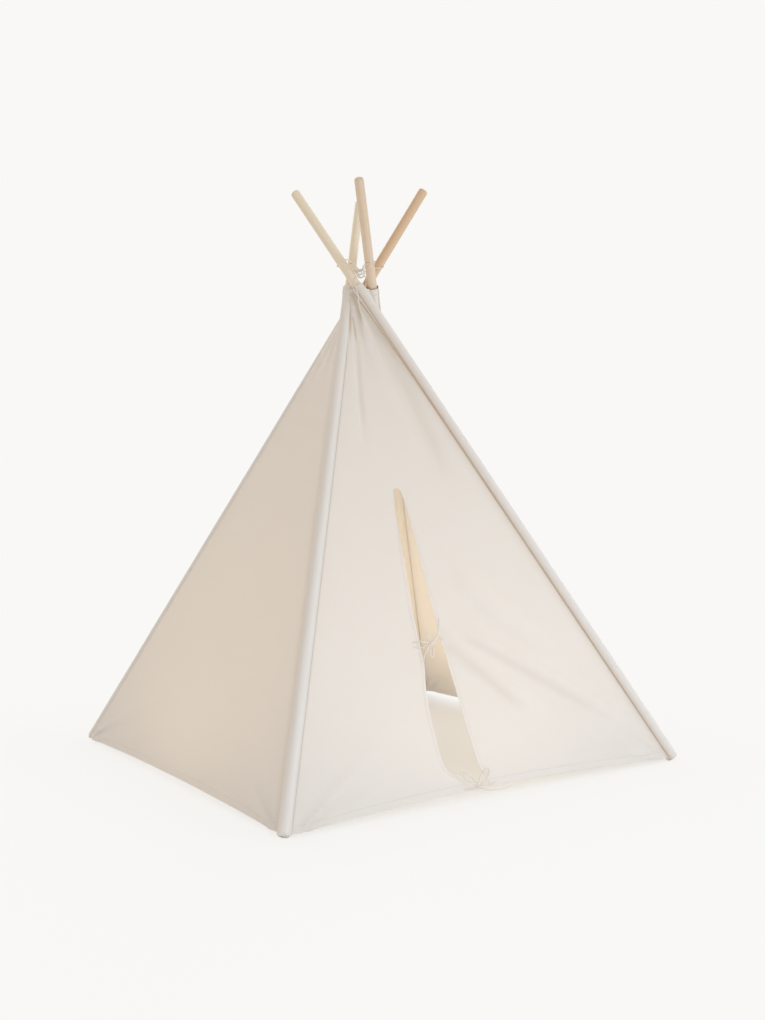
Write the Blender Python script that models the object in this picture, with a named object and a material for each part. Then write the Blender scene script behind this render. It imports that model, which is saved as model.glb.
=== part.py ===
"""A kids' play teepee: four two-piece wooden poles, laced together near their tops by a cord through a
drilled hole in each, under a cotton cover with a pole sleeve at each corner, a slit door and two tie bows.

Metres, +Z up, floor at z = 0, door facing -Y, pole crossing over the origin. Each corner is one pole with
its canvas sleeve and the halves of the two walls sewn to it, and swings about the cord in its pole's hole.
"""

import math

import bmesh
import bpy
import numpy as np
from mathutils import Matrix, Vector

MM = 0.001

# Standing frame
BASE_SIDE = 1.150            # square of the pole axes on the floor
CROSSING_HEIGHT = 1.247      # where the pole axes pass closest to the middle
CROSSING_OFFSET = 32.2 * MM  # how far each axis passes to one side of the middle there
HOLE_HEIGHT = 1.314          # the cord holes, and the hinge axes
FIT_GAP = 0.3 * MM           # between touching pieces

# Poles
POLE_DIAMETER = 25.0 * MM
POLE_LENGTH = 1.790
TOP_ROUND = 7.0 * MM
HOLE_DIAMETER = 5.0 * MM
CUT_OVERRUN = 5.0 * MM

# Ferrules that join the two halves of each pole
FERRULE_WALL = 0.8 * MM
FERRULE_LENGTH = 120.0 * MM

# Canvas
CLOTH = 1.5 * MM
SLEEVE_TOP_HEIGHT = 1.250
SLEEVE_END_ROUND = 7.0 * MM
FLOOR_FLAT_DEPTH = 0.5 * MM
HEM_HEIGHT = 9.0 * MM
WALL_TOP_DROP = 7.0 * MM     # how far the walls end below the sleeves' open tops
GROOVE_DEPTH = 10.5 * MM     # how far a wall's second edge sits behind its first, on the next sleeve

# Door
SLIT_X = -58.5 * MM          # slit line, from the middle of the front wall
SLIT_TOP_HEIGHT = 0.720
SLIT_TOP_ROUND = 9.0 * MM    # height of the slit's round top, above the flaps
SLIT_TOP_HALF_WIDTH = 11.0 * MM
LEFT_BOW = 86.5 * MM         # how far the left flap's free edge hangs from the slit line
RIGHT_BOW = 34.5 * MM
LEFT_HINGE_FOOT = -0.385
RIGHT_HINGE_FOOT = 0.300

# Folds in the canvas: their heights out of the wall
SAG = 6.0 * MM
GATHER = 4.0 * MM
GATHER_FOOT_HEIGHT = 0.930
GATHER_FULL_HEIGHT = 1.170
GATHER_WAVES = 2.5
EDGE_FADE_WIDTH = 46.0 * MM  # the strip along each sleeve where folds die away
DOOR_FOLD = 9.0 * MM
DOOR_FOLD_WIDTH = 26.0 * MM
DOOR_FOLD_START_SHARE = 0.2
DOOR_FOLD_END_SHARE = 0.45
CORNER_FOLD = 7.0 * MM
CORNER_FOLD_START = 60.0 * MM
CORNER_FOLD_REACH = 0.460
CORNER_FOLD_SPREAD_DEG = 5.0
CORNER_FOLD_ANGLES_DEG = (14.0, 33.0)

# Cords
CORD_DIAMETER = 3.0 * MM
CORD_STEP = 9.0 * MM
BOW_KNOT_RADIUS = 5.0 * MM
LASHING_KNOT_RADIUS = 12.0 * MM
LASHING_KNOT_HEIGHT = 1.288
KNOT_SHARES = (1.0, 1.0, 0.8)

# Free edge of each door flap, from hem to slit top: (share of the slit's height, share of the bow)
LEFT_EDGE_SHARES = (
    (0.0, 0.155), (0.03, 0.305), (0.055, 0.513),
    (0.079, 0.755), (0.1, 0.871), (0.153, 0.935),
    (0.233, 0.993), (0.32, 0.921), (0.454, 0.727),
    (0.55, 0.623), (0.716, 0.438), (0.854, 0.299),
    (0.92, 0.224), (0.96, 0.162), (1.0, 0.091),
)
RIGHT_EDGE_SHARES = (
    (0.0, 1.0), (0.03, 0.97), (0.064, 0.665),
    (0.1, 0.506), (0.148, 0.436), (0.257, 0.381),
    (0.367, 0.32), (0.484, 0.178), (0.55, 0.3),
    (0.66, 0.33), (0.94, 0.385), (0.97, 0.36),
    (1.0, 0.219),
)

# Door folds: from the middle bow down to the right, as (x, height) ends
DOOR_FOLDS = (
    ((-0.045, 0.345), (0.275, 0.165)),
    ((0.005, 0.050), (0.225, 0.110)),
)

COLUMNS = 8
FLAP_COLUMNS = 12
WALL_ROWS = 17
SLIT_ROWS = 18
ARCH_ROWS = 4
UPPER_ROWS = 12
CLOSING_POWER = 1.4
HALVINGS = 30
ROUND_SIDES = 24
FILLET_STEPS = 3

CORNERS = ("front_left", "front_right", "back_right", "back_left")
WALLS = ("front", "right", "back", "left")

POLE_RADIUS = POLE_DIAMETER / 2
FERRULE_BORE = POLE_RADIUS + FIT_GAP
FERRULE_OUTER = FERRULE_BORE + FERRULE_WALL
SLEEVE_BORE = FERRULE_OUTER + FIT_GAP
SLEEVE_OUTER = SLEEVE_BORE + CLOTH
SLEEVE_INNER_ROUND = SLEEVE_END_ROUND - CLOTH
POLE_FOOT_ROUND = SLEEVE_INNER_ROUND - (SLEEVE_BORE - POLE_RADIUS)
EDGE_DISTANCE = SLEEVE_OUTER + FIT_GAP + CLOTH / 2
WALL_TOP_HEIGHT = SLEEVE_TOP_HEIGHT - WALL_TOP_DROP
FLAP_TOP_HEIGHT = SLIT_TOP_HEIGHT - SLIT_TOP_ROUND

COLOURS = {
    "pale_wood": ((0.80, 0.66, 0.46), 0.55, 0.0),
    "aluminium": ((0.62, 0.62, 0.60), 0.35, 1.0),
    "canvas": ((0.84, 0.79, 0.73), 0.95, 0.0),
    "cord": ((0.86, 0.80, 0.72), 0.9, 0.0),
}


def clear_scene():
    for obj in list(bpy.data.objects):
        bpy.data.objects.remove(obj, do_unlink=True)


def material(node, kind):
    colour, roughness, metallic = COLOURS[kind]
    mat = bpy.data.materials.new(node + "_finish")
    mat.use_nodes = True
    shader = mat.node_tree.nodes["Principled BSDF"]
    shader.inputs["Base Color"].default_value = (*colour, 1.0)
    shader.inputs["Roughness"].default_value = roughness
    shader.inputs["Metallic"].default_value = metallic
    mat.diffuse_color = (*colour, 1.0)
    return mat


def place(name, data, kind, parent=None, matrix=None):
    """Links an object under its empty. matrix is its place in the world."""
    obj = bpy.data.objects.new(name, data)
    bpy.context.scene.collection.objects.link(obj)
    data.materials.append(material(name, kind))
    obj.parent = parent
    if parent is not None:
        obj.matrix_parent_inverse = parent.matrix_world.inverted()
    obj.matrix_world = matrix or Matrix.Identity(4)
    return obj


def empty(name, matrix, parent=None):
    obj = bpy.data.objects.new(name, None)
    bpy.context.scene.collection.objects.link(obj)
    obj.parent = parent
    obj.matrix_world = matrix
    bpy.context.view_layer.update()
    return obj


class Corner:
    """One pole's axis: its foot, its direction, and the hinge axis through its cord hole."""

    def __init__(self, number):
        angle = math.radians(225 + 90 * number)
        outward = Vector((math.cos(angle), math.sin(angle), 0))
        sideways = Vector((outward.y, -outward.x, 0))
        self.foot = outward * BASE_SIDE / math.sqrt(2)
        over = sideways * CROSSING_OFFSET + Vector((0, 0, CROSSING_HEIGHT))
        self.rise = over - self.foot
        self.up = self.rise.normalized()
        self.tilt = math.acos(self.up.z)
        self.hole = self.at(HOLE_HEIGHT)
        self.hinge = Vector((-self.up.y, self.up.x, 0)).normalized()
        front = self.up.cross(self.hinge)
        turn = Matrix((self.hinge, front, self.up)).transposed()
        self.turn = turn.to_4x4()

    def at(self, height):
        return self.foot + self.rise * (height / CROSSING_HEIGHT)

    def frame(self, origin):
        """A matrix whose Z runs up the pole and whose X is the hinge axis."""
        return Matrix.Translation(origin) @ self.turn

    def distance(self, point):
        return (point - self.foot).cross(self.up).length


def fillet(centre, radius, start, end):
    """Points of a round corner in a profile, from angle start to end in degrees: (distance out, height)."""
    angles = np.radians(np.linspace(start, end, FILLET_STEPS + 1))
    return [(centre[0] + radius * math.cos(a), centre[1] + radius * math.sin(a)) for a in angles]


def turned(profile):
    """A closed mesh turned about Z from a profile of (distance out, height) that starts and ends on it."""
    shape = bmesh.new()
    ends = profile[0][0] == 0
    ring = [shape.verts.new((x, 0, z)) for x, z in profile]
    edges = [shape.edges.new(pair) for pair in zip(ring, ring[1:])]
    if not ends:
        edges.append(shape.edges.new((ring[-1], ring[0])))
    bmesh.ops.spin(
        shape, geom=ring + edges, axis=(0, 0, 1), cent=(0, 0, 0),
        steps=ROUND_SIDES, angle=2 * math.pi, use_merge=True,
    )
    bmesh.ops.remove_doubles(shape, verts=shape.verts, dist=FIT_GAP / 100)
    bmesh.ops.recalc_face_normals(shape, faces=shape.faces)
    return shape


def finished(shape, name):
    mesh = bpy.data.meshes.new(name)
    shape.to_mesh(mesh)
    shape.free()
    mesh.shade_smooth()
    mesh.set_sharp_from_angle(angle=math.radians(40))
    return mesh


def pocket_end():
    """Height of the sleeve's closed end along its pole, so that its rim dips a little below the floor."""
    tilt = Corner(0).tilt
    rim = SLEEVE_END_ROUND + (SLEEVE_OUTER - SLEEVE_END_ROUND) * math.sin(tilt) - FLOOR_FLAT_DEPTH
    return rim / math.cos(tilt) - SLEEVE_END_ROUND


def pole_span():
    """Heights along the pole of its foot, its joint and its top."""
    foot = pocket_end() + CLOTH + FIT_GAP
    return foot, foot + POLE_LENGTH / 2, foot + POLE_LENGTH


def lower_pole(corner, name, parent):
    foot, joint, _ = pole_span()
    round_centre = (POLE_RADIUS - POLE_FOOT_ROUND, foot + POLE_FOOT_ROUND)
    profile = [(0, foot), *fillet(round_centre, POLE_FOOT_ROUND, -90, 0)]
    profile += [(POLE_RADIUS, joint - FIT_GAP / 2), (0, joint - FIT_GAP / 2)]
    return place(name, finished(turned(profile), name), "pale_wood", parent, corner.frame(corner.foot))


def cord_hole(corner, name):
    """The cutter for the lace's hole, square to the pole and to the hinge axis."""
    shape = bmesh.new()
    bmesh.ops.create_cone(
        shape, cap_ends=True, segments=ROUND_SIDES // 2,
        radius1=HOLE_DIAMETER / 2, radius2=HOLE_DIAMETER / 2,
        depth=POLE_DIAMETER + 2 * CUT_OVERRUN,
        matrix=Matrix.Rotation(math.pi / 2, 4, "X"),
    )
    cutter = bpy.data.objects.new(name, finished(shape, name))
    bpy.context.scene.collection.objects.link(cutter)
    cutter.matrix_world = corner.frame(corner.hole)
    cutter.hide_render = True
    cutter.display_type = "WIRE"
    return cutter


def upper_pole(corner, name, parent):
    _, joint, top = pole_span()
    round_centre = (POLE_RADIUS - TOP_ROUND, top - TOP_ROUND)
    profile = [(0, joint + FIT_GAP / 2), (POLE_RADIUS, joint + FIT_GAP / 2)]
    profile += [*fillet(round_centre, TOP_ROUND, 0, 90), (0, top)]
    frame = corner.frame(corner.foot)
    pole = place(name, finished(turned(profile), name), "pale_wood", parent, frame)
    cut = pole.modifiers.new("cord_hole", "BOOLEAN")
    cut.operation = "DIFFERENCE"
    cut.solver = "EXACT"
    cut.object = cord_hole(corner, name + "_hole")
    return pole


def ferrule(corner, name, parent):
    _, joint, _ = pole_span()
    low = joint - FERRULE_LENGTH / 2
    high = joint + FERRULE_LENGTH / 2
    profile = [(FERRULE_BORE, low), (FERRULE_OUTER, low), (FERRULE_OUTER, high), (FERRULE_BORE, high)]
    return place(name, finished(turned(profile), name), "aluminium", parent, corner.frame(corner.foot))


def sleeve(corner, name, parent):
    """The canvas tube over a pole, closed at the foot and cut flat where it stands on the floor."""
    end = pocket_end()
    top = SLEEVE_TOP_HEIGHT / math.cos(corner.tilt)
    outer_centre = (SLEEVE_OUTER - SLEEVE_END_ROUND, end + SLEEVE_END_ROUND)
    inner_centre = (SLEEVE_BORE - SLEEVE_INNER_ROUND, end + CLOTH + SLEEVE_INNER_ROUND)
    profile = [(0, end), *fillet(outer_centre, SLEEVE_END_ROUND, -90, 0)]
    profile += [(SLEEVE_OUTER, top), (SLEEVE_BORE, top)]
    profile += [*fillet(inner_centre, SLEEVE_INNER_ROUND, 0, -90), (0, end + CLOTH)]
    shape = turned(profile)
    frame = corner.frame(corner.foot)
    shape.transform(frame)
    cut = bmesh.ops.bisect_plane(
        shape, geom=shape.verts[:] + shape.edges[:] + shape.faces[:],
        plane_co=(0, 0, 0), plane_no=(0, 0, -1), clear_outer=True,
    )
    rim = [item for item in cut["geom_cut"] if isinstance(item, bmesh.types.BMEdge)]
    bmesh.ops.edgeloop_fill(shape, edges=rim)
    bmesh.ops.recalc_face_normals(shape, faces=shape.faces)
    shape.transform(frame.inverted())
    return place(name, finished(shape, name), "canvas", parent, frame)


def smooth(x):
    x = min(max(x, 0.0), 1.0)
    return x * x * (3 - 2 * x)


def hump(x):
    return math.exp(-x * x)


def smooth_curve(table, x):
    """A curve through (x, y) pairs, with the slope at each taken from its neighbours."""
    places = [p for p, _ in table]
    values = [v for _, v in table]
    slopes = np.gradient(values, places)
    n = min(max(int(np.searchsorted(places, x)) - 1, 0), len(places) - 2)
    step = places[n + 1] - places[n]
    t = (x - places[n]) / step
    a = values[n] * (1 + 2 * t) * (1 - t) ** 2 + values[n + 1] * t * t * (3 - 2 * t)
    return a + step * (slopes[n] * t * (1 - t) ** 2 - slopes[n + 1] * t * t * (1 - t))


class Wall:
    """The canvas between two sleeves. A point on it has a share of the way across, and a height."""

    def __init__(self, number):
        self.name = WALLS[number]
        self.near = Corner(number)
        self.far = Corner(number + 1)

    def point(self, share, height, fold=0.0):
        a = self.near.at(height)
        across = self.far.at(height) - a
        outward = Vector((across.y, -across.x, 0)).normalized()
        out = SLEEVE_OUTER - CLOTH / 2 - GROOVE_DEPTH * share + fold
        return a + across * share + outward * out

    def edge(self, height, corner, low, high):
        """The share where the canvas comes up to a corner's sleeve, between low, too near, and high."""
        for _ in range(HALVINGS):
            middle = (low + high) / 2
            if corner.distance(self.point(middle, height)) < EDGE_DISTANCE:
                low = middle
            else:
                high = middle
        return high

    def edges(self, height):
        return self.edge(height, self.near, 0.0, 0.5), self.edge(height, self.far, 1.0, 0.5)

    def share_of_x(self, x, height):
        """For the front wall: the share at a place measured from its middle."""
        a = self.near.at(height).x
        return (x - a) / (self.far.at(height).x - a)

    def seam(self, height):
        """The line where the two halves meet: from the slit's top on the front wall, or the middle."""
        if self.name != "front":
            return 0.5
        start = self.share_of_x(SLIT_X, SLIT_TOP_HEIGHT)
        rise = (height - SLIT_TOP_HEIGHT) / (WALL_TOP_HEIGHT - SLIT_TOP_HEIGHT)
        return start + (0.5 - start) * rise

    def fold(self, share, height):
        """How far the canvas stands out from its stretched shape, fading out at the sleeves."""
        low, high = self.edges(height)
        inside = min(share - low, high - share)
        width = (self.far.at(height) - self.near.at(height)).length
        fade = smooth(inside * width / EDGE_FADE_WIDTH)
        along = Vector((share * width, height))
        total = -SAG * math.sin(math.pi * share) * math.sin(math.pi * height / CROSSING_HEIGHT)
        gather = smooth((height - GATHER_FOOT_HEIGHT) / (GATHER_FULL_HEIGHT - GATHER_FOOT_HEIGHT))
        across = (share - low) / (high - low)
        total += GATHER * gather * math.sin(2 * math.pi * GATHER_WAVES * across)
        for side, foot in ((1, 0.0), (-1, width)):
            away = Vector((side * (along.x - foot), height))
            if away.length < FIT_GAP:
                continue
            angle = math.degrees(math.atan2(away.y, away.x))
            reach = smooth(away.length / CORNER_FOLD_START) * (1 - smooth(away.length / CORNER_FOLD_REACH))
            for line in CORNER_FOLD_ANGLES_DEG:
                total += CORNER_FOLD * reach * hump((angle - line) / CORNER_FOLD_SPREAD_DEG)
        return total * fade + self.door_fold(share, height)

    def door_fold(self, share, height):
        """The soft ridges that run from the bows across the right flap."""
        if self.name != "front":
            return 0.0
        total = 0.0
        here = Vector((self.point(share, height).x, height))
        for start, end in DOOR_FOLDS:
            line = Vector(end) - Vector(start)
            t = (here - Vector(start)).dot(line) / line.length_squared
            off = (here - Vector(start) - line * t).length / DOOR_FOLD_WIDTH
            ends = smooth(t / DOOR_FOLD_START_SHARE) * smooth((1 - t) / DOOR_FOLD_END_SHARE)
            total += DOOR_FOLD * hump(off) * ends
        return total

    def cloth(self, share, height, lift=0.0):
        """A point on the folded canvas, or lifted off its middle layer, square to the stretched wall."""
        across = self.far.at(height) - self.near.at(height)
        normal = across.cross(self.near.rise + self.far.rise).normalized()
        return self.point(share, height, self.fold(share, height)) + normal * lift


FRONT = Wall(0)


def slit_height_share(height):
    return (height - HEM_HEIGHT) / (SLIT_TOP_HEIGHT - HEM_HEIGHT)


def hinge_x(side, height):
    """Where a door flap's fold line, or the slit's round top above it, crosses a height."""
    foot = LEFT_HINGE_FOOT if side < 0 else RIGHT_HINGE_FOOT
    top = SLIT_X + side * SLIT_TOP_HALF_WIDTH
    if height <= FLAP_TOP_HEIGHT:
        return foot + (top - foot) * (height - HEM_HEIGHT) / (FLAP_TOP_HEIGHT - HEM_HEIGHT)
    rise = min((height - FLAP_TOP_HEIGHT) / SLIT_TOP_ROUND, 1.0)
    return SLIT_X + side * SLIT_TOP_HALF_WIDTH * math.sqrt(1 - rise * rise)


def free_edge_x(side, height):
    """Where a door flap's free edge crosses a height."""
    if side < 0:
        return SLIT_X - FIT_GAP / 2 - LEFT_BOW * smooth_curve(LEFT_EDGE_SHARES, slit_height_share(height))
    return SLIT_X + FIT_GAP / 2 + RIGHT_BOW * smooth_curve(RIGHT_EDGE_SHARES, slit_height_share(height))


def sheet(name, wall, rows, columns, bounds, parent, origin):
    """A closed sheet of canvas over part of a wall. bounds(height) gives its two shares across."""
    shape = bmesh.new()
    grid = []
    for height in rows:
        low, high = bounds(height)
        shares = [low + (high - low) * n / columns for n in range(columns + 1)]
        grid.append([shape.verts.new(wall.cloth(share, height) - origin) for share in shares])
    for row, above in zip(grid, grid[1:]):
        for n in range(columns):
            shape.faces.new((row[n], row[n + 1], above[n + 1], above[n]))
    obj = place(name, finished(shape, name), "canvas", parent, Matrix.Translation(origin))
    thick = obj.modifiers.new("cloth_thickness", "SOLIDIFY")
    thick.thickness = CLOTH
    thick.offset = 0
    return obj


def seam_bounds(wall, side):
    """The shares of a plain wall's half: side -1 is on the near sleeve, 1 on the far one."""

    def bounds(height):
        low, high = wall.edges(height)
        width = (wall.far.at(height) - wall.near.at(height)).length
        middle = wall.seam(height) + side * FIT_GAP / 2 / width
        return (low, middle) if side < 0 else (middle, high)

    return bounds


def door_side_bounds(side):
    """The shares of a front half: out to the flap's fold line, the slit's round top, and the seam above."""
    above = seam_bounds(FRONT, side)

    def bounds(height):
        low, high = above(height)
        if height > SLIT_TOP_HEIGHT:
            return low, high
        line = FRONT.share_of_x(hinge_x(side, height) + side * FIT_GAP / 2, height)
        return (low, line) if side < 0 else (line, high)

    return bounds


def flap_bounds(side):
    def bounds(height):
        fold = FRONT.share_of_x(hinge_x(side, height) - side * FIT_GAP / 2, height)
        free = FRONT.share_of_x(free_edge_x(side, height), height)
        return (fold, free) if side < 0 else (free, fold)

    return bounds


def even(low, high, steps):
    return [low + (high - low) * n / steps for n in range(steps + 1)]


def arched(steps):
    """Heights up the slit's round top, closer together towards its crown."""
    angles = [math.pi / 2 * n / steps for n in range(1, steps + 1)]
    return [FLAP_TOP_HEIGHT + SLIT_TOP_ROUND * math.sin(angle) for angle in angles]


def closing_up(low, high, steps):
    """Heights that lie closer together towards the top, where the walls twist."""
    return [high - (high - low) * (1 - n / steps) ** CLOSING_POWER for n in range(steps + 1)]


def plain_walls(number, parents, corners):
    wall = Wall(number)
    rows = closing_up(HEM_HEIGHT, WALL_TOP_HEIGHT, WALL_ROWS)
    for side, at in ((-1, number), (1, (number + 1) % 4)):
        name = f"{wall.name}_wall_at_{CORNERS[at]}"
        sheet(name, wall, rows, COLUMNS, seam_bounds(wall, side), parents[at], corners[at].hole)


def front_walls(parents, corners):
    rows = even(HEM_HEIGHT, FLAP_TOP_HEIGHT, SLIT_ROWS) + arched(ARCH_ROWS)
    rows += closing_up(SLIT_TOP_HEIGHT, WALL_TOP_HEIGHT, UPPER_ROWS)[1:]
    for side, at in ((-1, 0), (1, 1)):
        name = f"front_wall_at_{CORNERS[at]}"
        sheet(name, FRONT, rows, COLUMNS, door_side_bounds(side), parents[at], corners[at].hole)


def flap_line(side):
    """The fold line of a flap, on the canvas's outer face: its foot and its direction."""
    ends = [
        FRONT.cloth(FRONT.share_of_x(hinge_x(side, height), height), height, CLOTH / 2)
        for height in (HEM_HEIGHT, FLAP_TOP_HEIGHT)
    ]
    return ends[0], (ends[1] - ends[0]).normalized()


def door_flap(side, name, parent):
    rows = even(HEM_HEIGHT, FLAP_TOP_HEIGHT, SLIT_ROWS)
    origin = parent.matrix_world.translation
    return sheet(name, FRONT, rows, FLAP_COLUMNS, flap_bounds(side), parent, origin)


def knot(name, centre, radius, parent=None):
    """A pulled-tight knot: a squat ball."""
    shape = bmesh.new()
    bmesh.ops.create_icosphere(shape, subdivisions=3, radius=radius)
    bmesh.ops.scale(shape, verts=shape.verts, vec=KNOT_SHARES)
    return place(name, finished(shape, name), "cord", parent, Matrix.Translation(centre))


def out_of_knot(centre, radius, toward):
    """The two points that start a cord straight out of a knot's face, towards a point."""
    way = (toward - centre).normalized()
    face = radius / Vector(part / share for part, share in zip(way, KNOT_SHARES)).length
    return [centre + way * (face + FIT_GAP), centre + way * (face + FIT_GAP + CORD_DIAMETER)]


def through(points):
    """Points every CORD_STEP or so on a smooth curve through a route's own points."""
    points = [Vector(p) for p in points]
    ends = [2 * points[0] - points[1], *points, 2 * points[-1] - points[-2]]
    found = [points[0]]
    for a, b, c, d in zip(ends, ends[1:], ends[2:], ends[3:]):
        steps = math.ceil((c - b).length / CORD_STEP)
        for n in range(1, steps + 1):
            t = n / steps
            found.append(
                0.5 * (2 * b + (c - a) * t + (2 * a - 5 * b + 4 * c - d) * t * t
                       + (3 * b - a - 3 * c + d) * t * t * t)
            )
    return found


def cord(name, route, centre, radius, parent=None, loop=False):
    """A cord out of a knot along a route, and back into the knot if it is a loop."""
    route = [Vector(point) for point in route]
    route = out_of_knot(centre, radius, route[0]) + route
    if loop:
        route += reversed(out_of_knot(centre, radius, route[-1]))
    curve = bpy.data.curves.new(name, "CURVE")
    curve.dimensions = "3D"
    curve.bevel_depth = CORD_DIAMETER / 2
    curve.bevel_resolution = 2
    curve.use_fill_caps = True
    points = through(route)
    spline = curve.splines.new("POLY")
    spline.points.add(len(points) - 1)
    for slot, point in zip(spline.points, points):
        slot.co = (*point, 1.0)
    return place(name, curve, "cord", parent)


# The bows: each knot, then its cords' routes out of it, as (x, height, lift off the canvas's middle layer)
MIDDLE_KNOT = (-0.0860, 0.3460, 0.0045)
MIDDLE_LOOPS = {
    "middle_bow_upper_loop": (
        (-0.0878, 0.3570, 0.0060), (-0.0880, 0.3640, 0.0080), (-0.0820, 0.3712, 0.0095),
        (-0.0745, 0.3680, 0.0095), (-0.0745, 0.3600, 0.0085), (-0.0785, 0.3545, 0.0065),
    ),
    "middle_bow_lower_loop": (
        (-0.0876, 0.3350, 0.0060), (-0.0930, 0.3260, 0.0075), (-0.0950, 0.3170, 0.0085),
        (-0.0885, 0.3140, 0.0085), (-0.0830, 0.3240, 0.0075), (-0.0795, 0.3365, 0.0060),
    ),
}
MIDDLE_ENDS = {
    "middle_tie_left": (
        (-0.0965, 0.3510, 0.0040), (-0.1080, 0.3545, 0.0034), (-0.1200, 0.3550, 0.0027),
        (-0.1320, 0.3555, 0.0027),
    ),
    "middle_tie_left_return": (
        (-0.0970, 0.3424, 0.0038), (-0.1080, 0.3400, 0.0034), (-0.1210, 0.3410, 0.0027),
        (-0.1330, 0.3440, 0.0027),
    ),
    "middle_bow_upper_tail": (
        (-0.0785, 0.3498, 0.0135), (-0.0690, 0.3565, 0.0135), (-0.0590, 0.3690, 0.0115),
        (-0.0490, 0.3860, 0.0090), (-0.0400, 0.4010, 0.0065),
    ),
    "middle_bow_hanging_tail": (
        (-0.0935, 0.3410, 0.0125), (-0.1010, 0.3350, 0.0125), (-0.1075, 0.3260, 0.0105),
        (-0.1145, 0.3160, 0.0080), (-0.1190, 0.3040, 0.0055),
    ),
}
MIDDLE_RIGHT_END = {
    "middle_tie_right": (
        (-0.0740, 0.3478, 0.0038), (-0.0630, 0.3515, 0.0030), (-0.0540, 0.3540, 0.0027),
        (-0.0450, 0.3555, 0.0027),
    ),
}
BOTTOM_KNOT = (-0.0630, 0.0190, 0.0045)
BOTTOM_LOOPS = {
    "bottom_bow_left_loop": (
        (-0.0750, 0.0245, 0.0125), (-0.0850, 0.0330, 0.0130), (-0.0960, 0.0430, 0.0125),
        (-0.1040, 0.0520, 0.0115), (-0.0985, 0.0575, 0.0110), (-0.0860, 0.0510, 0.0110),
        (-0.0755, 0.0410, 0.0100), (-0.0680, 0.0300, 0.0085),
    ),
    "bottom_bow_right_loop": (
        (-0.0580, 0.0300, 0.0105), (-0.0490, 0.0400, 0.0115), (-0.0350, 0.0500, 0.0115),
        (-0.0240, 0.0510, 0.0105), (-0.0230, 0.0440, 0.0105), (-0.0320, 0.0355, 0.0120),
        (-0.0430, 0.0280, 0.0130), (-0.0510, 0.0240, 0.0125),
    ),
}
BOTTOM_ENDS = {
    "bottom_tie_left": (
        (-0.0750, 0.0170, 0.0036), (-0.0840, 0.0175, 0.0028), (-0.0920, 0.0190, 0.0027),
        (-0.1000, 0.0200, 0.0027),
    ),
    "bottom_bow_long_tail": (
        (-0.0540, 0.0115, 0.0125), (-0.0430, 0.0070, 0.0130), (-0.0250, 0.0045, 0.0120),
        (-0.0050, 0.0040, 0.0105), (0.0180, 0.0052, 0.0090), (0.0330, 0.0080, 0.0075),
    ),
}
BOTTOM_RIGHT_END = {
    "bottom_tie_right": (
        (-0.0420, 0.0180, 0.0036), (-0.0270, 0.0190, 0.0028), (-0.0180, 0.0200, 0.0027),
        (-0.0080, 0.0210, 0.0027),
    ),
}

# The lace through one pole, between two places on the knot, in the frame of the pole's hinge
LACE_ROUTE = (
    (-0.0202, 0.0234, -0.0249), (-0.0106, 0.0226, -0.0099), (-0.0020, 0.0190, -0.0015),
    (0.0, 0.0125, 0.0), (0.0, -0.0125, 0.0), (-0.0035, -0.0168, -0.0020),
    (-0.0120, -0.0134, -0.0060), (-0.0168, -0.0040, -0.0120), (-0.0205, 0.0080, -0.0220),
)

# The lace's two ends: over the front_right sleeve, and down inside
LACE_TAILS = {
    "lace_outer_tail": (
        (-0.0170, -0.0220, 1.2790), (-0.0290, -0.0290, 1.2725), (-0.0385, -0.0305, 1.2620),
        (-0.0380, -0.0345, 1.2480), (-0.0345, -0.0375, 1.2320), (-0.0330, -0.0430, 1.2050),
        (-0.0325, -0.0500, 1.1800), (-0.0320, -0.0590, 1.1600),
    ),
    "lace_inner_tail": (
        (0.0070, -0.0160, 1.2740), (0.0030, -0.0210, 1.2560), (0.0010, -0.0190, 1.2380),
        (0.0000, -0.0150, 1.2200),
    ),
}


def at_front(x, height, lift):
    return FRONT.cloth(FRONT.share_of_x(x, height), height, lift)


def lashing(corners):
    """The lace: a knot between the poles, a turn through each of them, and its two ends."""
    centre = Vector((0, 0, LASHING_KNOT_HEIGHT))
    knot("lashing_knot", centre, LASHING_KNOT_RADIUS)
    for number, corner in enumerate(corners):
        frame = corner.frame(corner.hole)
        route = [frame @ Vector(point) for point in LACE_ROUTE]
        cord("lace_through_" + CORNERS[number], route, centre, LASHING_KNOT_RADIUS, loop=True)
    for name, route in LACE_TAILS.items():
        cord(name, route, centre, LASHING_KNOT_RADIUS)


def bow(name, place_of_knot, loops, ends, right_end, flaps):
    """A bow over the slit. It hangs on the left flap, and one of its ends is sewn to the right one."""
    centre = at_front(*place_of_knot)
    knot(name, centre, BOW_KNOT_RADIUS, flaps[0])
    strands = ((loops, flaps[0], True), (ends, flaps[0], False), (right_end, flaps[1], False))
    for routes, flap, loop in strands:
        for cord_name, route in routes.items():
            cord(cord_name, [at_front(*point) for point in route], centre, BOW_KNOT_RADIUS, flap, loop)


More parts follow.
